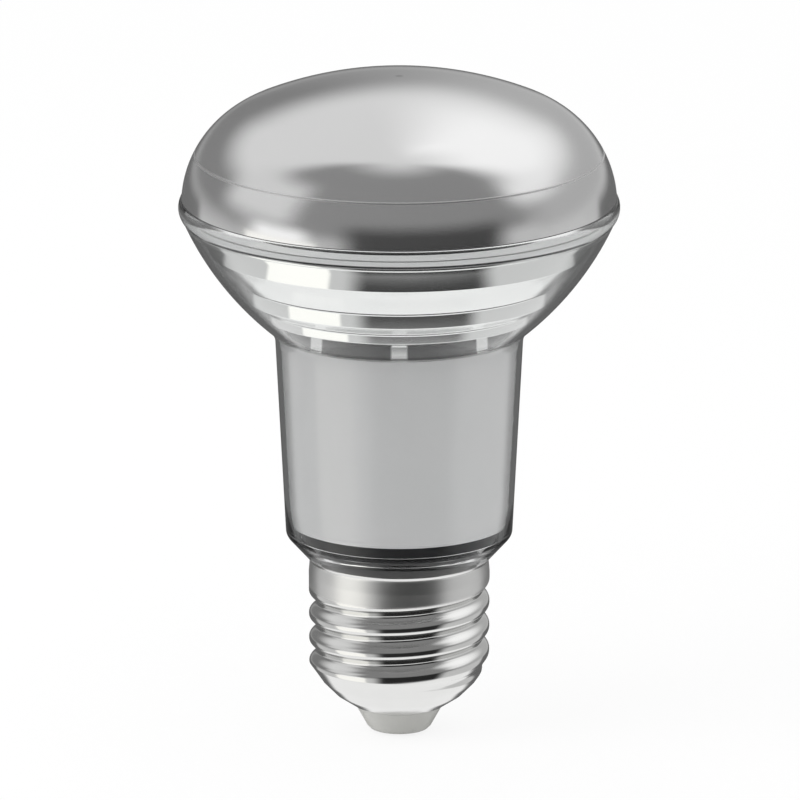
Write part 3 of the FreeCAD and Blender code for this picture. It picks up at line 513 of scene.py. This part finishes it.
@dataclass(frozen=True)
class SatinCover(Finish):
    """Silvery satin with a duller seam ring, a gate mark at the crown, and near-black lines of painted
    shade at its seat.
    """

    shade_lines: tuple[tuple[float, float], ...] = ()
    shade_line_blur: float = 0.04
    # Near-black colour of the painted shade lines at the seat.
    seat_shade_black: Colour = (0.01, 0.01, 0.01)
    seam_z: float = 0.0
    seam_half: float = 0.2
    seam_blur: float = 0.1
    seam_dullness: float = 0.15
    gate_radius: float = 0.7
    gate_depth: float = 0.5
    gate_grey: Colour = (0.3, 0.3, 0.3)
    gloss_size: float = 5.0

    def seat(self, graph: Graph) -> Value:
        """Finds the near-black lines of painted shade at the lip's edge and round the spigot.

        Args:
            graph: The material's graph.

        Returns:
            1 on the lines, 0 elsewhere.
        """
        height = graph.height()
        # Both lines are painted shade for the dark gap between the cover and the clear lip. The lower
        # one lies on the plain spigot, which has no groove in it.
        edge, groove = (height.between(low, high, self.shade_line_blur) for low, high in self.shade_lines)
        return edge + groove

    def lacquered(self, graph: Graph) -> Value:
        """1 on the white lacquer under the lower painted shade line, 0 above it."""
        shade_line_z = self.shade_lines[1][0]
        return 1 - graph.height().smooth(shade_line_z, shade_line_z + self.shade_line_blur)

    def gate(self, graph: Graph) -> Value:
        """Finds the gate mark at the crown.

        Args:
            graph: The material's graph.

        Returns:
            1 on the mark, 0 round it.
        """
        spot = graph.place()
        x, y = graph.axis(spot, "X") / MM, graph.axis(spot, "Y") / MM
        away = (x * x + y * y).math("SQRT")
        return 1 - away.smooth(self.gate_radius / 2, self.gate_radius)

    def colour_map(self, graph: Graph) -> Value:
        """Silver, black on the painted shade lines at the seat, white under them, a little darker in the
        gate mark.

        Args:
            graph: The material's graph.

        Returns:
            The colour over the surface.
        """
        silver = super().colour_map(graph)
        marked = graph.mix(self.gate(graph) * self.gate_depth, silver, self.gate_grey)
        over_white = graph.mix(self.lacquered(graph), marked, WHITE_LACQUER)
        # Near-black painted shade on the seat lines.
        return graph.mix(self.seat(graph), over_white, self.seat_shade_black)

    def metallic_map(self, graph: Graph) -> Value:
        """Metal where the silver is."""
        return (1 - self.seat(graph)) * (1 - self.lacquered(graph)) * self.metallic

    def roughness_map(self, graph: Graph) -> Value:
        """Satin that is a little duller in the seam ring.

        Args:
            graph: The material's graph.

        Returns:
            The roughness over the surface.
        """
        low, high = self.seam_z - self.seam_half, self.seam_z + self.seam_half
        seam = graph.height().between(low, high, self.seam_blur) * self.seam_dullness
        return (graph.noise(self.gloss_size) - 0.5) * self.gloss_change + seam + self.roughness


@dataclass
class Envelope:
    """The clear body and the domed cover that closes it."""

    form: LampForm
    segments: int = 192
    collar_radius: float = 12.72
    collar_wall: float = 1.25
    collar_base: float = 22.0
    floor_drop: float = 0.33
    floor_inset: float = 1.48
    seat_depth: float = 2.0
    edge: float = 0.12
    seat_gap: float = SEAT_GAP
    cover_inset: float = 0.1
    cover_wall: float = 1.9
    band_height: float = 0.4
    cover_slope: float = 5.0
    shoulder_curve: float = 15.6
    crown_curve: float = 55.0
    seam_angle: float = 28.6
    seam_half_angle: float = 0.5
    seam_depth: float = 0.15
    spigot_gap: float = 0.1
    spigot_depth: float = 1.5

    def body_mesh(self) -> bmesh.types.BMesh:
        """Turns the clear wall: collar, foot, neck, bell and lip.

        Returns:
            The clear body's mesh.
        """
        form = self.form
        seat = form.rim[0] - form.lip_wall
        bore_top = form.inside(form.bell_top, form.bell_top_slope)
        bore_base = form.inside(form.bell_base, form.bell_base_slope)
        neck_top = form.inside(form.neck_top, form.neck_slope)
        neck_base = form.inside(form.neck_base, form.neck_slope)
        floor_r, floor_z = form.foot_top[0] - self.floor_inset, form.foot_top[1] - self.floor_drop
        collar_bore = self.collar_radius - self.collar_wall
        outline = Outline(self.collar_radius, self.collar_base)
        outline.line(self.collar_radius, form.base_z).line(form.foot_radius, form.base_z)
        outline.line(*form.foot_top)
        outline.arc(*form.neck_base, form.foot_round, Bulge.RIGHT, 6).line(*form.neck_top, steps=6)
        outline.arc(*form.bell_base, form.neck_fillet, Bulge.LEFT, 8)
        outline.arc(*form.bell_top, form.bell_curve, Bulge.RIGHT, 20)
        outline.arc(*form.rim, form.lip_curve, Bulge.RIGHT, 8).line(seat, form.rim[1])
        outline.line(seat, form.rim[1] - self.seat_depth).line(*bore_top)
        outline.arc(*bore_base, form.bell_curve - form.wall, Bulge.LEFT, 20)
        outline.arc(*neck_top, form.neck_fillet + form.wall, Bulge.RIGHT, 8)
        outline.line(*neck_base, steps=6).line(floor_r, floor_z)
        outline.line(collar_bore, floor_z).line(collar_bore, self.collar_base)
        return outline.turned(self.segments, soften=self.edge)

    def cover_mesh(self) -> bmesh.types.BMesh:
        """Turns the cover: spigot, side band, shoulder with its seam, and crown.

        Returns:
            The cover's mesh.
        """
        base_z = self.form.rim[1] + self.seat_gap
        radius = self.form.rim[0] - self.cover_inset
        spigot_r = self.form.rim[0] - self.form.lip_wall - self.spigot_gap
        spigot_z = self.form.rim[1] - self.spigot_depth
        slope = math.radians(self.cover_slope)
        band_z = base_z + self.band_height
        centre_r = radius - self.shoulder_curve * math.cos(slope)
        centre_z = band_z - self.shoulder_curve * math.sin(slope)
        meet_cos = centre_r / (self.crown_curve - self.shoulder_curve)
        meet_sin = math.sqrt(1 - meet_cos**2)
        crown_z = centre_z - (self.crown_curve - self.shoulder_curve) * meet_sin
        bore = radius - self.cover_wall * math.cos(slope)

        def on_shoulder(angle: float, depth: float = 0.0) -> tuple[float, float]:
            """A place on the shoulder's round, at an angle and at a depth under its face."""
            turn, curve = math.radians(angle), self.shoulder_curve - depth
            return centre_r + curve * math.cos(turn), centre_z + curve * math.sin(turn)

        inside = self.shoulder_curve - self.cover_wall
        outline = Outline(spigot_r, spigot_z).line(spigot_r, base_z)
        outline.line(radius + self.band_height * math.tan(slope), base_z).line(radius, band_z)
        below_seam = on_shoulder(self.seam_angle - self.seam_half_angle)
        outline.arc(*below_seam, self.shoulder_curve, Bulge.RIGHT, 14)
        outline.line(*on_shoulder(self.seam_angle, self.seam_depth))
        outline.line(*on_shoulder(self.seam_angle + self.seam_half_angle))
        meet = (centre_r + self.shoulder_curve * meet_cos, centre_z + self.shoulder_curve * meet_sin)
        outline.arc(*meet, self.shoulder_curve, Bulge.RIGHT, 24)
        outline.arc(0.0, crown_z + self.crown_curve, self.crown_curve, Bulge.RIGHT, 24)
        outline.line(0.0, crown_z + self.crown_curve - self.cover_wall)
        outline.arc(centre_r + inside * meet_cos, centre_z + inside * meet_sin,
                    self.crown_curve - self.cover_wall, Bulge.LEFT, 12)
        outline.arc(bore, band_z - self.cover_wall * math.sin(slope), inside, Bulge.LEFT, 12)
        outline.line(bore, spigot_z)
        return outline.turned(self.segments)

    def build(self) -> None:
        """Makes and dresses both pieces."""
        glass = ClearGlass(
            "clear_glass", (1.0, 1.0, 1.0), roughness=0.0, gloss_change=0.02, grain_size=9.0,
            grain_depth=0.02, transmission=1.0, reflection=0.2,
        )
        body = make_piece("clear_body", self.body_mesh(), glass, smooth=35)
        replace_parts(body, "outer_body")
        base_z = self.form.rim[1] + self.seat_gap
        rise = math.sin(math.radians(self.seam_angle)) - math.sin(math.radians(self.cover_slope))
        # The cover's near-black seat lines are painted shade for the gap between the cover and the clear
        # lip.
        satin = SatinCover(
            "satin_silver_cover", (0.80, 0.80, 0.80), roughness=0.13, metallic=0.95, mottle=0.02,
            mottle_size=14.0, gloss_change=0.03, grain_size=0.5, grain_depth=0.001, coat=0.4,
            coat_roughness=0.03, shade_lines=((base_z, base_z + 0.12), (base_z - 0.89, base_z - 0.66)),
            seam_z=base_z + self.band_height + self.shoulder_curve * rise,
        )
        cover = make_piece("domed_cover", self.cover_mesh(), satin, smooth=20)
        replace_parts(cover, "front_cover")


# Mirror bowl


@dataclass(frozen=True)
class MirrorCoat(Finish):
    """Mirror coat with near-black painted shade in windows round the collar and in thin rings at the
    band corners, under a white lacquered rim.
    """

    painted_shade_top: float = 0.0
    painted_shade_blur: float = 0.1
    painted_shade_dullness: float = 0.25
    shade_windows: int = 8
    shade_window_edge: tuple[float, float] = (0.9, 0.8)
    shade_rings: tuple[float, ...] = ()
    shade_ring_width: float = 0.2
    shade_ring_blur: float = 0.06
    rim_z: float = 0.0
    rim_blur: float = 0.05
    # Near-black colour of the painted shade.
    painted_shade_colour: Colour = (0.012, 0.012, 0.013)
    gloss_size: float = 3.0

    def unshaded_coat(self, graph: Graph) -> Value:
        """Finds the coat between the painted shade windows at the collar and between the painted shade
        rings.

        Args:
            graph: The material's graph.

        Returns:
            1 where the coat is, 0 where shade is painted.
        """
        height = graph.height()
        # Painted shade: near-black windows round the collar stand in for the dark gap between the bowl
        # and the sleeve. Near-black rings at the corners stand in for shadow lines at the band edges.
        shade_window = (graph.heading() * self.shade_windows).math("COSINE").smooth(*self.shade_window_edge)
        painted_shade = (1 - height.smooth(self.painted_shade_top - self.painted_shade_blur, self.painted_shade_top)) * shade_window
        for corner in self.shade_rings:
            line = height.between(corner, corner + self.shade_ring_width, self.shade_ring_blur)
            painted_shade = painted_shade.math("MAXIMUM", line)
        return 1 - painted_shade

    def lacquered(self, graph: Graph) -> Value:
        """1 on the rim's lacquer, 0 below it."""
        return graph.height().smooth(self.rim_z, self.rim_z + self.rim_blur)

    def colour_map(self, graph: Graph) -> Value:
        """Bright coat, near black where shade is painted, white on the rim."""
        below = graph.mix(self.unshaded_coat(graph), self.painted_shade_colour, self.colour)
        return graph.mix(self.lacquered(graph), below, WHITE_LACQUER)

    def metallic_map(self, graph: Graph) -> Value:
        """Metal only where the coat is."""
        return self.unshaded_coat(graph) * (1 - self.lacquered(graph)) * self.metallic

    def roughness_map(self, graph: Graph) -> Value:
        """Mirror on the coat, moulded gloss where shade is painted."""
        painted_shade = (1 - self.unshaded_coat(graph)) * self.painted_shade_dullness
        return graph.noise(self.gloss_size) * self.gloss_change + painted_shade + self.roughness


@dataclass
class MirrorBowl:
    """Reflector behind the bell: stepped bands outside, a smooth bowl inside, a collar below."""

    form: LampForm
    segments: int = 192
    rim_gap: float = 0.15
    spigot_depth: float = 1.5
    bands: tuple[tuple[float, float], ...] = ((0.025, 0.229), (0.513, 0.631), (0.736, 0.81))
    collar_share: float = 0.9
    band_gap: float = 0.5
    wall: float = 0.8
    bowl_curve: float = 60.0
    collar_gap: float = 0.5
    collar_wall: float = 1.2
    shelf_rise: float = 2.0
    painted_shade_height: float = 2.9
    rim_shade_rise: float = 0.5
    shade_ring_width: float = 0.2
    shade_ring_rise: float = 0.1
    edge: float = 0.1

    def down(self, share: float) -> float:
        """Height of a share of the way down the bell."""
        return self.form.bell_top[1] - share * (self.form.bell_top[1] - self.form.bell_base[1])

    def mesh(self) -> bmesh.types.BMesh:
        """Turns the bowl from its collar up the bands and down the inside.

        Returns:
            The bowl's mesh.
        """
        form = self.form
        collar_r = form.inside(form.neck_top, form.neck_slope)[0] - self.collar_gap
        collar_bore, collar_z = collar_r - self.collar_wall, self.down(self.collar_share)
        foot_z = form.neck_top[1] + self.shelf_rise
        top_z = form.rim[1] - self.spigot_depth - self.rim_gap
        rim_r = form.bore_at(form.bell_top[1]) - self.rim_gap
        outline = Outline(collar_bore, foot_z).line(collar_r, foot_z).line(collar_r, collar_z)
        for top_share, base_share in reversed(self.bands):
            radius = form.bore_at(self.down(base_share)) - self.band_gap
            outline.line(radius, self.down(base_share)).line(radius, self.down(top_share))
        upper_r = form.bore_at(self.down(self.bands[0][1])) - self.band_gap
        outline.line(rim_r, form.bell_top[1]).line(rim_r, top_z).line(upper_r - self.wall, top_z)
        outline.arc(collar_bore, collar_z, self.bowl_curve, Bulge.LEFT, 24)
        return outline.turned(self.segments, soften=self.edge)

    def build(self) -> None:
        """Makes and dresses the bowl."""
        # The bowl's near-black collar windows and corner rings are painted shade.
        inner_shade_rings = (self.down(top_share) + self.shade_ring_rise for top_share, _ in self.bands[1:])
        coat = MirrorCoat(
            "vacuum_mirror", (0.9, 0.9, 0.895), roughness=0.02, metallic=1.0, gloss_change=0.03,
            grain_size=6.0, grain_depth=0.004,
            painted_shade_top=self.form.neck_top[1] + self.shelf_rise + self.painted_shade_height,
            rim_z=self.form.bell_top[1] + self.rim_shade_rise + self.shade_ring_width,
            shade_rings=(self.form.bell_top[1] + self.rim_shade_rise, *inner_shade_rings),
            shade_ring_width=self.shade_ring_width,
        )
        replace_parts(make_piece("mirror_bowl", self.mesh(), coat), "reflector")


# Screw cap


@dataclass(frozen=True)
class Plating(Finish):
    """Bright plating, satin on the plain skirt and a little duller where hands and the holder rub it."""

    skirt_z: float = 0.0
    skirt_blur: float = 0.4
    skirt_roughness: float = 0.34
    rim_z: float = 0.0
    rim_height: float = 0.5
    rub_size: float = 6.0
    rubbed: tuple[float, float] = (0.45, 0.8)
    scratch_size: float = 0.2
    scratched: tuple[float, float] = (0.6, 0.75)
    scratch_dullness: float = 0.06

    def roughness_map(self, graph: Graph) -> Value:
        """Bright on the thread, satin on the skirt, with soft rubbed patches and fine scratches.

        Args:
            graph: The material's graph.

        Returns:
            The roughness over the surface.
        """
        patches = graph.noise(self.rub_size).smooth(*self.rubbed)
        scratches = graph.noise(self.scratch_size, stretch=Grain.SCRATCHED.value).smooth(*self.scratched)
        skirt = graph.height().between(self.skirt_z, self.rim_z - self.rim_height, self.skirt_blur)
        plain = skirt * (self.skirt_roughness - self.roughness) + self.roughness
        return patches * self.gloss_change + scratches * self.scratch_dullness + plain


@dataclass
class ScrewCap:
    """Rolled sheet cap with its right-hand thread, the insulator in its mouth and the centre contact."""

    rim_z: float
    segments: int = 160
    wall: float = 0.3
    skirt_radius: float = 13.1
    skirt_height: float = 4.6
    mouth: tuple[float, float] = (6.7, 4.1)
    waist: tuple[float, float] = (9.3, 5.85)
    swell: tuple[float, float] = (11.15, 7.75)
    cone: tuple[float, float] = (12.45, 9.65)
    cone_top: tuple[float, float] = (13.05, 10.5)
    pitch: float = 3.629
    depth: float = 1.1
    crest_z: float = 12.22
    first_turn: float = -1.5
    last_turn: float = 2.3
    first_fade: float = 0.75
    last_fade: float = 0.32
    groove_power: float = 1.4
    groove_start: float = 2.2
    groove_blend: float = 1.2
    rows: int = 84
    flare: float = 0.17
    flare_height: float = 0.5
    flare_run: float = 2.0
    rim_edge: float = 0.08

    def groove(self, heading: float, height: float) -> float:
        """Depth of the thread's groove at a place on the cap's side.

        Args:
            heading: Turns round the axis from +X, from 0 to 1.
            height: Height above the origin.

        Returns:
            Millimetres below the crests.
        """
        phase = (height - self.crest_z) / self.pitch - heading
        number = round(phase - 0.5)
        across = phase - 0.5 - number
        along = number + heading
        begun = (along - self.first_turn) / self.first_fade
        left = (self.last_turn - along) / self.last_fade
        strength = max(0.0, min(1.0, begun, left))
        strength = strength * strength * (3 - 2 * strength)
        return self.depth * strength * (0.5 + 0.5 * math.cos(ROUND * across)) ** self.groove_power

    def side(self, inset: float) -> Corners:
        """Lists the cap's side from its mouth to its rim.

        Args:
            inset: How far the side lies inside the sheet's outer face.

        Returns:
            Each corner's radius and height, and the steps up to it.
        """
        lean = inset / 2
        return [
            (self.mouth[0] - inset, self.mouth[1] + lean, 1),
            (self.waist[0] - inset, self.waist[1] + lean, 3),
            (self.swell[0] - inset, self.swell[1] + lean, 5),
            (self.cone[0] - inset, self.cone[1] + lean, 6),
            (self.cone_top[0] - inset, self.cone_top[1] + lean, 5),
            (self.skirt_radius - inset, self.rim_z, self.rows),
        ]

    def flared(self) -> Corners:
        """Lists the outer side, drawn in a little below the rim so that the rim's edge flares out.

        Returns:
            Each corner's radius and height, and the steps up to it.
        """
        waisted = self.rim_z - self.flare_height
        return self.side(0.0)[:-1] + [
            (self.skirt_radius, waisted - self.flare_run, self.rows),
            (self.skirt_radius - self.flare, waisted, 6),
            (self.skirt_radius, self.rim_z - self.rim_edge, 3),
            (self.skirt_radius, self.rim_z, 1),
        ]

    def shell_mesh(self) -> bmesh.types.BMesh:
        """Turns the sheet as a plain cup, then sinks the thread's groove into both of its faces.

        Returns:
            The cap's mesh.
        """
        outer = self.flared()
        inner = self.side(self.wall)
        outline = Outline(*outer[0][:2])
        for radius, height, steps in outer[1:]:
            outline.line(radius, height, steps)
        outline.line(inner[-1][0], self.rim_z)
        for corner, above in zip(inner[-2::-1], inner[::-1]):
            outline.line(corner[0], corner[1], above[2])
        mesh = outline.turned(self.segments)
        for vert in mesh.verts:
            flat = Vector((vert.co.x, vert.co.y, 0))
            heading = math.atan2(vert.co.y, vert.co.x) / ROUND % 1.0
            height = vert.co.z / MM
            above_cone = (height - self.waist[1] - self.groove_start) / self.groove_blend
            above_cone = min(1.0, max(0.0, above_cone))
            vert.co -= flat.normalized() * self.groove(heading, height) * above_cone * MM
        return mesh

    def build(self) -> None:
        """Makes the shell and dresses the insulator and the contact."""
        plating = Plating(
            "bright_nickel_plate", (0.82, 0.82, 0.81), roughness=0.12, metallic=1.0, mottle=0.03,
            mottle_size=3.0, gloss_change=0.06, grain=Grain.TURNED, grain_size=0.3, grain_depth=0.0004,
            skirt_z=self.rim_z - self.skirt_height, rim_z=self.rim_z,
        )
        shell = make_piece("threaded_cap", self.shell_mesh(), plating, smooth=40)
        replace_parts(shell, "cap_shell")
        dress("cap_insulator", Finish(
            "grey_moulded_insulator", (0.44, 0.44, 0.42), roughness=0.4, mottle=0.05, mottle_size=2.5,
            grain_size=0.15, grain_depth=0.008,
        ))
        dress("centre_contact", Finish(
            "pressed_brass", (0.74, 0.62, 0.36), roughness=0.28, metallic=1.0, grain=Grain.TURNED,
            grain_depth=0.003,
        ))


# Light board and its carrier


@dataclass(frozen=True)
class SleeveSilver(Finish):
    """Silver lacquer on the turned sleeve, with a bright rolled edge at its foot."""

    foot_z: float = 0.0
    edge: tuple[float, float] = (0.15, 0.35)
    edge_gloss: float = 0.25
    gloss_size: float = 8.0

    def roughness_map(self, graph: Graph) -> Value:
        """Satin, brighter on the rolled edge.

        Args:
            graph: The material's graph.

        Returns:
            The roughness over the surface.
        """
        low, high = self.edge
        edge = (1 - graph.height().smooth(self.foot_z + low, self.foot_z + high)) * self.edge_gloss
        return (graph.noise(self.gloss_size) - 0.5) * self.gloss_change - edge + self.roughness


@dataclass
class LightEngine:
    """Metal sleeve, the light board on its shelf, and what is fixed to the board."""

    sleeve_base: float

    def build(self) -> None:
        """Dresses the sleeve, the board, its light sources, screws and wires."""
        dress("neck_sleeve", SleeveSilver(
            "silver_lacquer", (0.94, 0.935, 0.94), roughness=0.30, metallic=0.10, mottle=0.02,
            mottle_size=8.0, gloss_change=0.05, grain=Grain.TURNED, grain_size=0.12, grain_depth=0.001,
            foot_z=self.sleeve_base,
        ))
        dress("led_board", Finish(
            "white_solder_mask", (0.86, 0.87, 0.85), roughness=0.35, mottle=0.03, mottle_size=1.5,
            coat=0.3,
        ))
        dress("led_chips", Finish(
            "yellow_phosphor", (0.86, 0.62, 0.10), roughness=0.3, mottle=0.12, mottle_size=0.5, coat=0.6,
        ))
        dress("board_screws", Finish(
            "zinc_plated_steel", (0.62, 0.63, 0.65), roughness=0.3, metallic=1.0, mottle=0.1,
            mottle_size=0.8,
        ))
        wires = {"led_wire_positive": RED_WIRE, "led_wire_negative": BLACK_WIRE}
        for node, finish in wires.items():
            dress(node, finish)


RED_WIRE = Finish("red_silicone_wire", (0.55, 0.05, 0.04), roughness=0.5, mottle_size=0.6)
BLACK_WIRE = Finish("black_silicone_wire", (0.03, 0.03, 0.032), roughness=0.5, mottle_size=0.6)


@dataclass
class Driver:
    """Driver board in its housing, with its components and the wires to the cap."""

    def build(self) -> None:
        """Dresses the housing, the board, the components and the cap's wires."""
        finishes = {
            "driver_housing": Finish(
                "black_moulded_housing", (0.02, 0.02, 0.022), roughness=0.4, mottle=0.2,
            ),
            "driver_board": Finish(
                "green_laminate", (0.03, 0.16, 0.06), roughness=0.3, mottle=0.25, mottle_size=1.2,
                coat=0.5,
            ),
            "input_capacitor": Finish(
                "black_shrink_sleeve", (0.02, 0.025, 0.04), roughness=0.25, mottle=0.2,
            ),
            "output_capacitor": Finish(
                "dark_shrink_sleeve", (0.03, 0.05, 0.04), roughness=0.25, mottle=0.2,
            ),
            "inductor_core": Finish(
                "fired_ferrite", (0.06, 0.06, 0.065), roughness=0.6, mottle=0.3, mottle_size=0.8,
                grain_depth=0.03,
            ),
            "inductor_winding": Finish(
                "enamelled_copper", (0.62, 0.26, 0.11), roughness=0.22, metallic=1.0, grain=Grain.TURNED,
                grain_size=0.3, grain_depth=0.05,
            ),
            "film_capacitor": Finish(
                "dipped_red_resin", (0.42, 0.07, 0.04), roughness=0.25, mottle=0.12, coat=0.5,
            ),
            "bridge_rectifier": Finish(
                "black_chip_resin", (0.03, 0.03, 0.03), roughness=0.5, mottle=0.2,
            ),
            "driver_chip": Finish(
                "dark_chip_resin", (0.035, 0.035, 0.04), roughness=0.5, mottle=0.2,
            ),
            "fusible_resistor": Finish(
                "blue_grey_lacquer", (0.22, 0.38, 0.45), roughness=0.35, mottle=0.1,
            ),
            "live_wire": RED_WIRE,
            "neutral_wire": BLACK_WIRE,
        }
        for node, finish in finishes.items():
            dress(node, finish)


# Studio


@dataclass(frozen=True)
class Panel:
    """A stretch of the studio's walls, as gloss sees it. Angles are degrees, 0 towards the camera."""

    heading: float
    half_width: float
    low: float
    high: float
    level: float
    blur: float = 10.0
    tint: Colour = (1.0, 1.0, 1.0)

    def over(self, room: Value, heading: Value, rise: Value) -> Value:
        """Lays this panel over what is there.

        Args:
            room: Colour of the room so far.
            heading: Heading of the direction looked in.
            rise: Its rise above the horizon.

        Returns:
            The room's colour with this panel.
        """
        turned = (heading - self.heading).math("ABSOLUTE")
        away = turned.math("MINIMUM", 360 - turned)
        across = 1 - away.smooth(self.half_width - self.blur / 2, self.half_width + self.blur / 2)
        mask = across * rise.between(self.low, self.high, self.blur)
        return room.graph.mix(mask, room, tuple(self.level * part for part in self.tint))


@dataclass(frozen=True)
class Lamp:
    """A soft square lamp. Lengths are in metres and power in watts."""

    name: str
    spot: Vector
    width: float
    power: float


@dataclass
class Studio:
    """Pale floor, white room, soft lamps and the camera. The scale is millimetres to a pixel."""

    scale: float = 0.1442
    frame_px: int = 800
    rise: float = 15.3
    distance: float = 1.6
    axis_px: float = 399.2
    apex_px: float = 78.5
    sensor_mm: float = 36.0
    sees_to: float = 50.0
    floor_radius: float = 8.0
    floor_colour: Colour = (0.95, 0.95, 0.95)
    floor_white: float = 0.85
    aim: Vector = field(default_factory=lambda: Vector((0, 0, 0.05)))
    daylight: float = 0.95
    room_level: float = 0.75
    panels: list[Panel] = field(default_factory=lambda: [
        Panel(heading=0, half_width=200, low=-120, high=-36, level=0.95, blur=10),
        Panel(heading=0, half_width=200, low=-36, high=-3, level=0.60, blur=8),
        Panel(heading=132, half_width=58, low=-4, high=25, level=0.45, blur=22),
        Panel(heading=-134, half_width=46, low=-4, high=26, level=0.20, blur=20),
        Panel(heading=132, half_width=42, low=33, high=76, level=1.09, blur=26),
        Panel(heading=-8, half_width=86, low=-2, high=80, level=0.23, blur=26),
        Panel(heading=-84, half_width=24, low=8, high=46, level=0.70, blur=20),
        Panel(heading=-66, half_width=16, low=-6, high=5, level=1.15, blur=14),
        Panel(heading=88, half_width=18, low=26, high=44, level=0.95, blur=22),
        Panel(heading=62, half_width=18, low=-8, high=4, level=0.60, blur=20),
        Panel(heading=14, half_width=42, low=-36, high=15, level=0.02, blur=18),
        Panel(heading=-66, half_width=22, low=-36, high=-4, level=1.15, blur=4, tint=(1.0, 0.99, 0.95)),
        Panel(heading=96, half_width=18, low=-36, high=-4, level=0.60, blur=8),
        Panel(heading=180, half_width=50, low=-36, high=-3, level=0.14, blur=8),
    ])
    lamps: list[Lamp] = field(default_factory=lambda: [
        Lamp("key_lamp", Vector((-0.6, -0.35, 0.5)), width=0.5, power=1.5),
        Lamp("side_lamp", Vector((-0.7, -0.1, 0.03)), width=0.4, power=2.5),
    ])

    def add_floor(self) -> None:
        """Lays a pale floor under the lamp. It takes the lamp's shadow and stays out of its gloss."""
        mesh = bmesh.new()
        bmesh.ops.create_circle(mesh, cap_ends=True, radius=self.floor_radius, segments=96)
        data = bpy.data.meshes.new("floor")
        mesh.to_mesh(data)
        mesh.free()
        floor = bpy.data.objects.new("floor", data)
        bpy.context.scene.collection.objects.link(floor)
        floor.visible_glossy = False
        floor.visible_transmission = False
        paint = bpy.data.materials.new("pale_floor")
        paint.use_nodes = True
        graph = Graph(paint.node_tree)
        matt = graph.node("ShaderNodeBsdfDiffuse", {"Color": (*self.floor_colour, 1)})
        white = graph.node("ShaderNodeEmission", {"Color": (1, 1, 1, 1), "Strength": 1.0})
        seen = graph.node("ShaderNodeLightPath", output="Is Camera Ray") * self.floor_white
        surface = graph.node("ShaderNodeMixShader", {0: seen, 1: matt, 2: white})
        graph.node("ShaderNodeOutputMaterial", {"Surface": surface})
        data.materials.append(paint)

    def add_world(self) -> None:
        """Makes the room: plain light on matt pieces, white to the camera, panels in gloss and glass."""
        world = bpy.data.worlds.new("studio")
        world.use_nodes = True
        graph = Graph(world.node_tree)
        direction = graph.node("ShaderNodeTexCoord", output="Generated")
        x, y, z = (graph.axis(direction, name) for name in "XYZ")
        heading = x.math("ARCTAN2", y * -1) * math.degrees(1)
        rise = z.math("ARCSINE") * math.degrees(1)
        room = graph.node("ShaderNodeRGB")
        room.socket.default_value = (self.room_level, self.room_level, self.room_level, 1)
        for panel in self.panels:
            room = panel.over(room, heading, rise)
        glossy, through, camera, scattered = (
            graph.node("ShaderNodeLightPath", output=name)
            for name in ("Is Glossy Ray", "Is Transmission Ray", "Is Camera Ray", "Diffuse Depth")
        )
        plain = (self.daylight, self.daylight, self.daylight)
        direct = 1 - scattered.math("MINIMUM", 1.0)
        lit = graph.mix(glossy.math("MAXIMUM", through) * direct, plain, room)
        seen = graph.mix(camera, lit, (1.0, 1.0, 1.0))
        surface = graph.node("ShaderNodeBackground", {"Color": seen, "Strength": 1.0})
        graph.node("ShaderNodeOutputWorld", {"Surface": surface})
        bpy.context.scene.world = world

    def add_lamp(self, lamp: Lamp) -> None:
        """Hangs a soft lamp that points at the middle of the reflector bulb.

        Args:
            lamp: Its name, place, width and power.
        """
        data = bpy.data.lights.new(lamp.name, "AREA")
        data.energy = lamp.power
        data.size = lamp.width
        hung = bpy.data.objects.new(lamp.name, data)
        hung.location = lamp.spot
        hung.rotation_mode = "QUATERNION"
        hung.rotation_quaternion = (self.aim - lamp.spot).to_track_quat("-Z", "Y")
        hung.visible_glossy = False
        hung.visible_transmission = False
        bpy.context.scene.collection.objects.link(hung)

    def add_camera(self) -> None:
        """Puts the camera at the photograph's angle, far off, so that it sees almost no perspective."""
        rise = math.radians(self.rise)
        apex_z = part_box("front_cover")[1].z
        middle_px = self.frame_px / 2
        down = (middle_px - self.apex_px) * self.scale * MM / math.cos(rise)
        aside = (middle_px - self.axis_px) * self.scale * MM
        target = Vector((aside, 0, apex_z - down))
        back = Vector((0, -math.cos(rise), math.sin(rise)))
        data = bpy.data.cameras.new("camera")
        half_width = middle_px * self.scale * MM
        data.sensor_width = self.sensor_mm
        data.lens = data.sensor_width / 2 * self.distance / half_width
        data.clip_end = self.sees_to
        camera = bpy.data.objects.new("camera", data)
        camera.location = target + back * self.distance
        camera.rotation_mode = "QUATERNION"
        camera.rotation_quaternion = (-back).to_track_quat("-Z", "Y")
        bpy.context.scene.collection.objects.link(camera)
        bpy.context.scene.camera = camera

    def build(self) -> None:
        """Sets up the whole studio."""
        self.add_floor()
        self.add_world()
        for lamp in self.lamps:
            self.add_lamp(lamp)
        self.add_camera()
        bpy.context.scene.view_settings.view_transform = "Standard"
        LOG.info("set up the studio")


def main() -> None:
    """Builds the lamp from the cap upwards, then the studio round it."""
    logging.basicConfig(level=logging.INFO, format="%(name)s: %(message)s")
    cap = ScrewCap(rim_z=top_of("cap_shell"))
    form = LampForm(base_z=cap.rim_z + SEAT_GAP)
    cap.build()
    Driver().build()
    LightEngine(sleeve_base=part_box("neck_sleeve")[0].z / MM).build()
    MirrorBowl(form).build()
    Envelope(form).build()
    Studio().build()


if __name__ == "__main__":
    main()
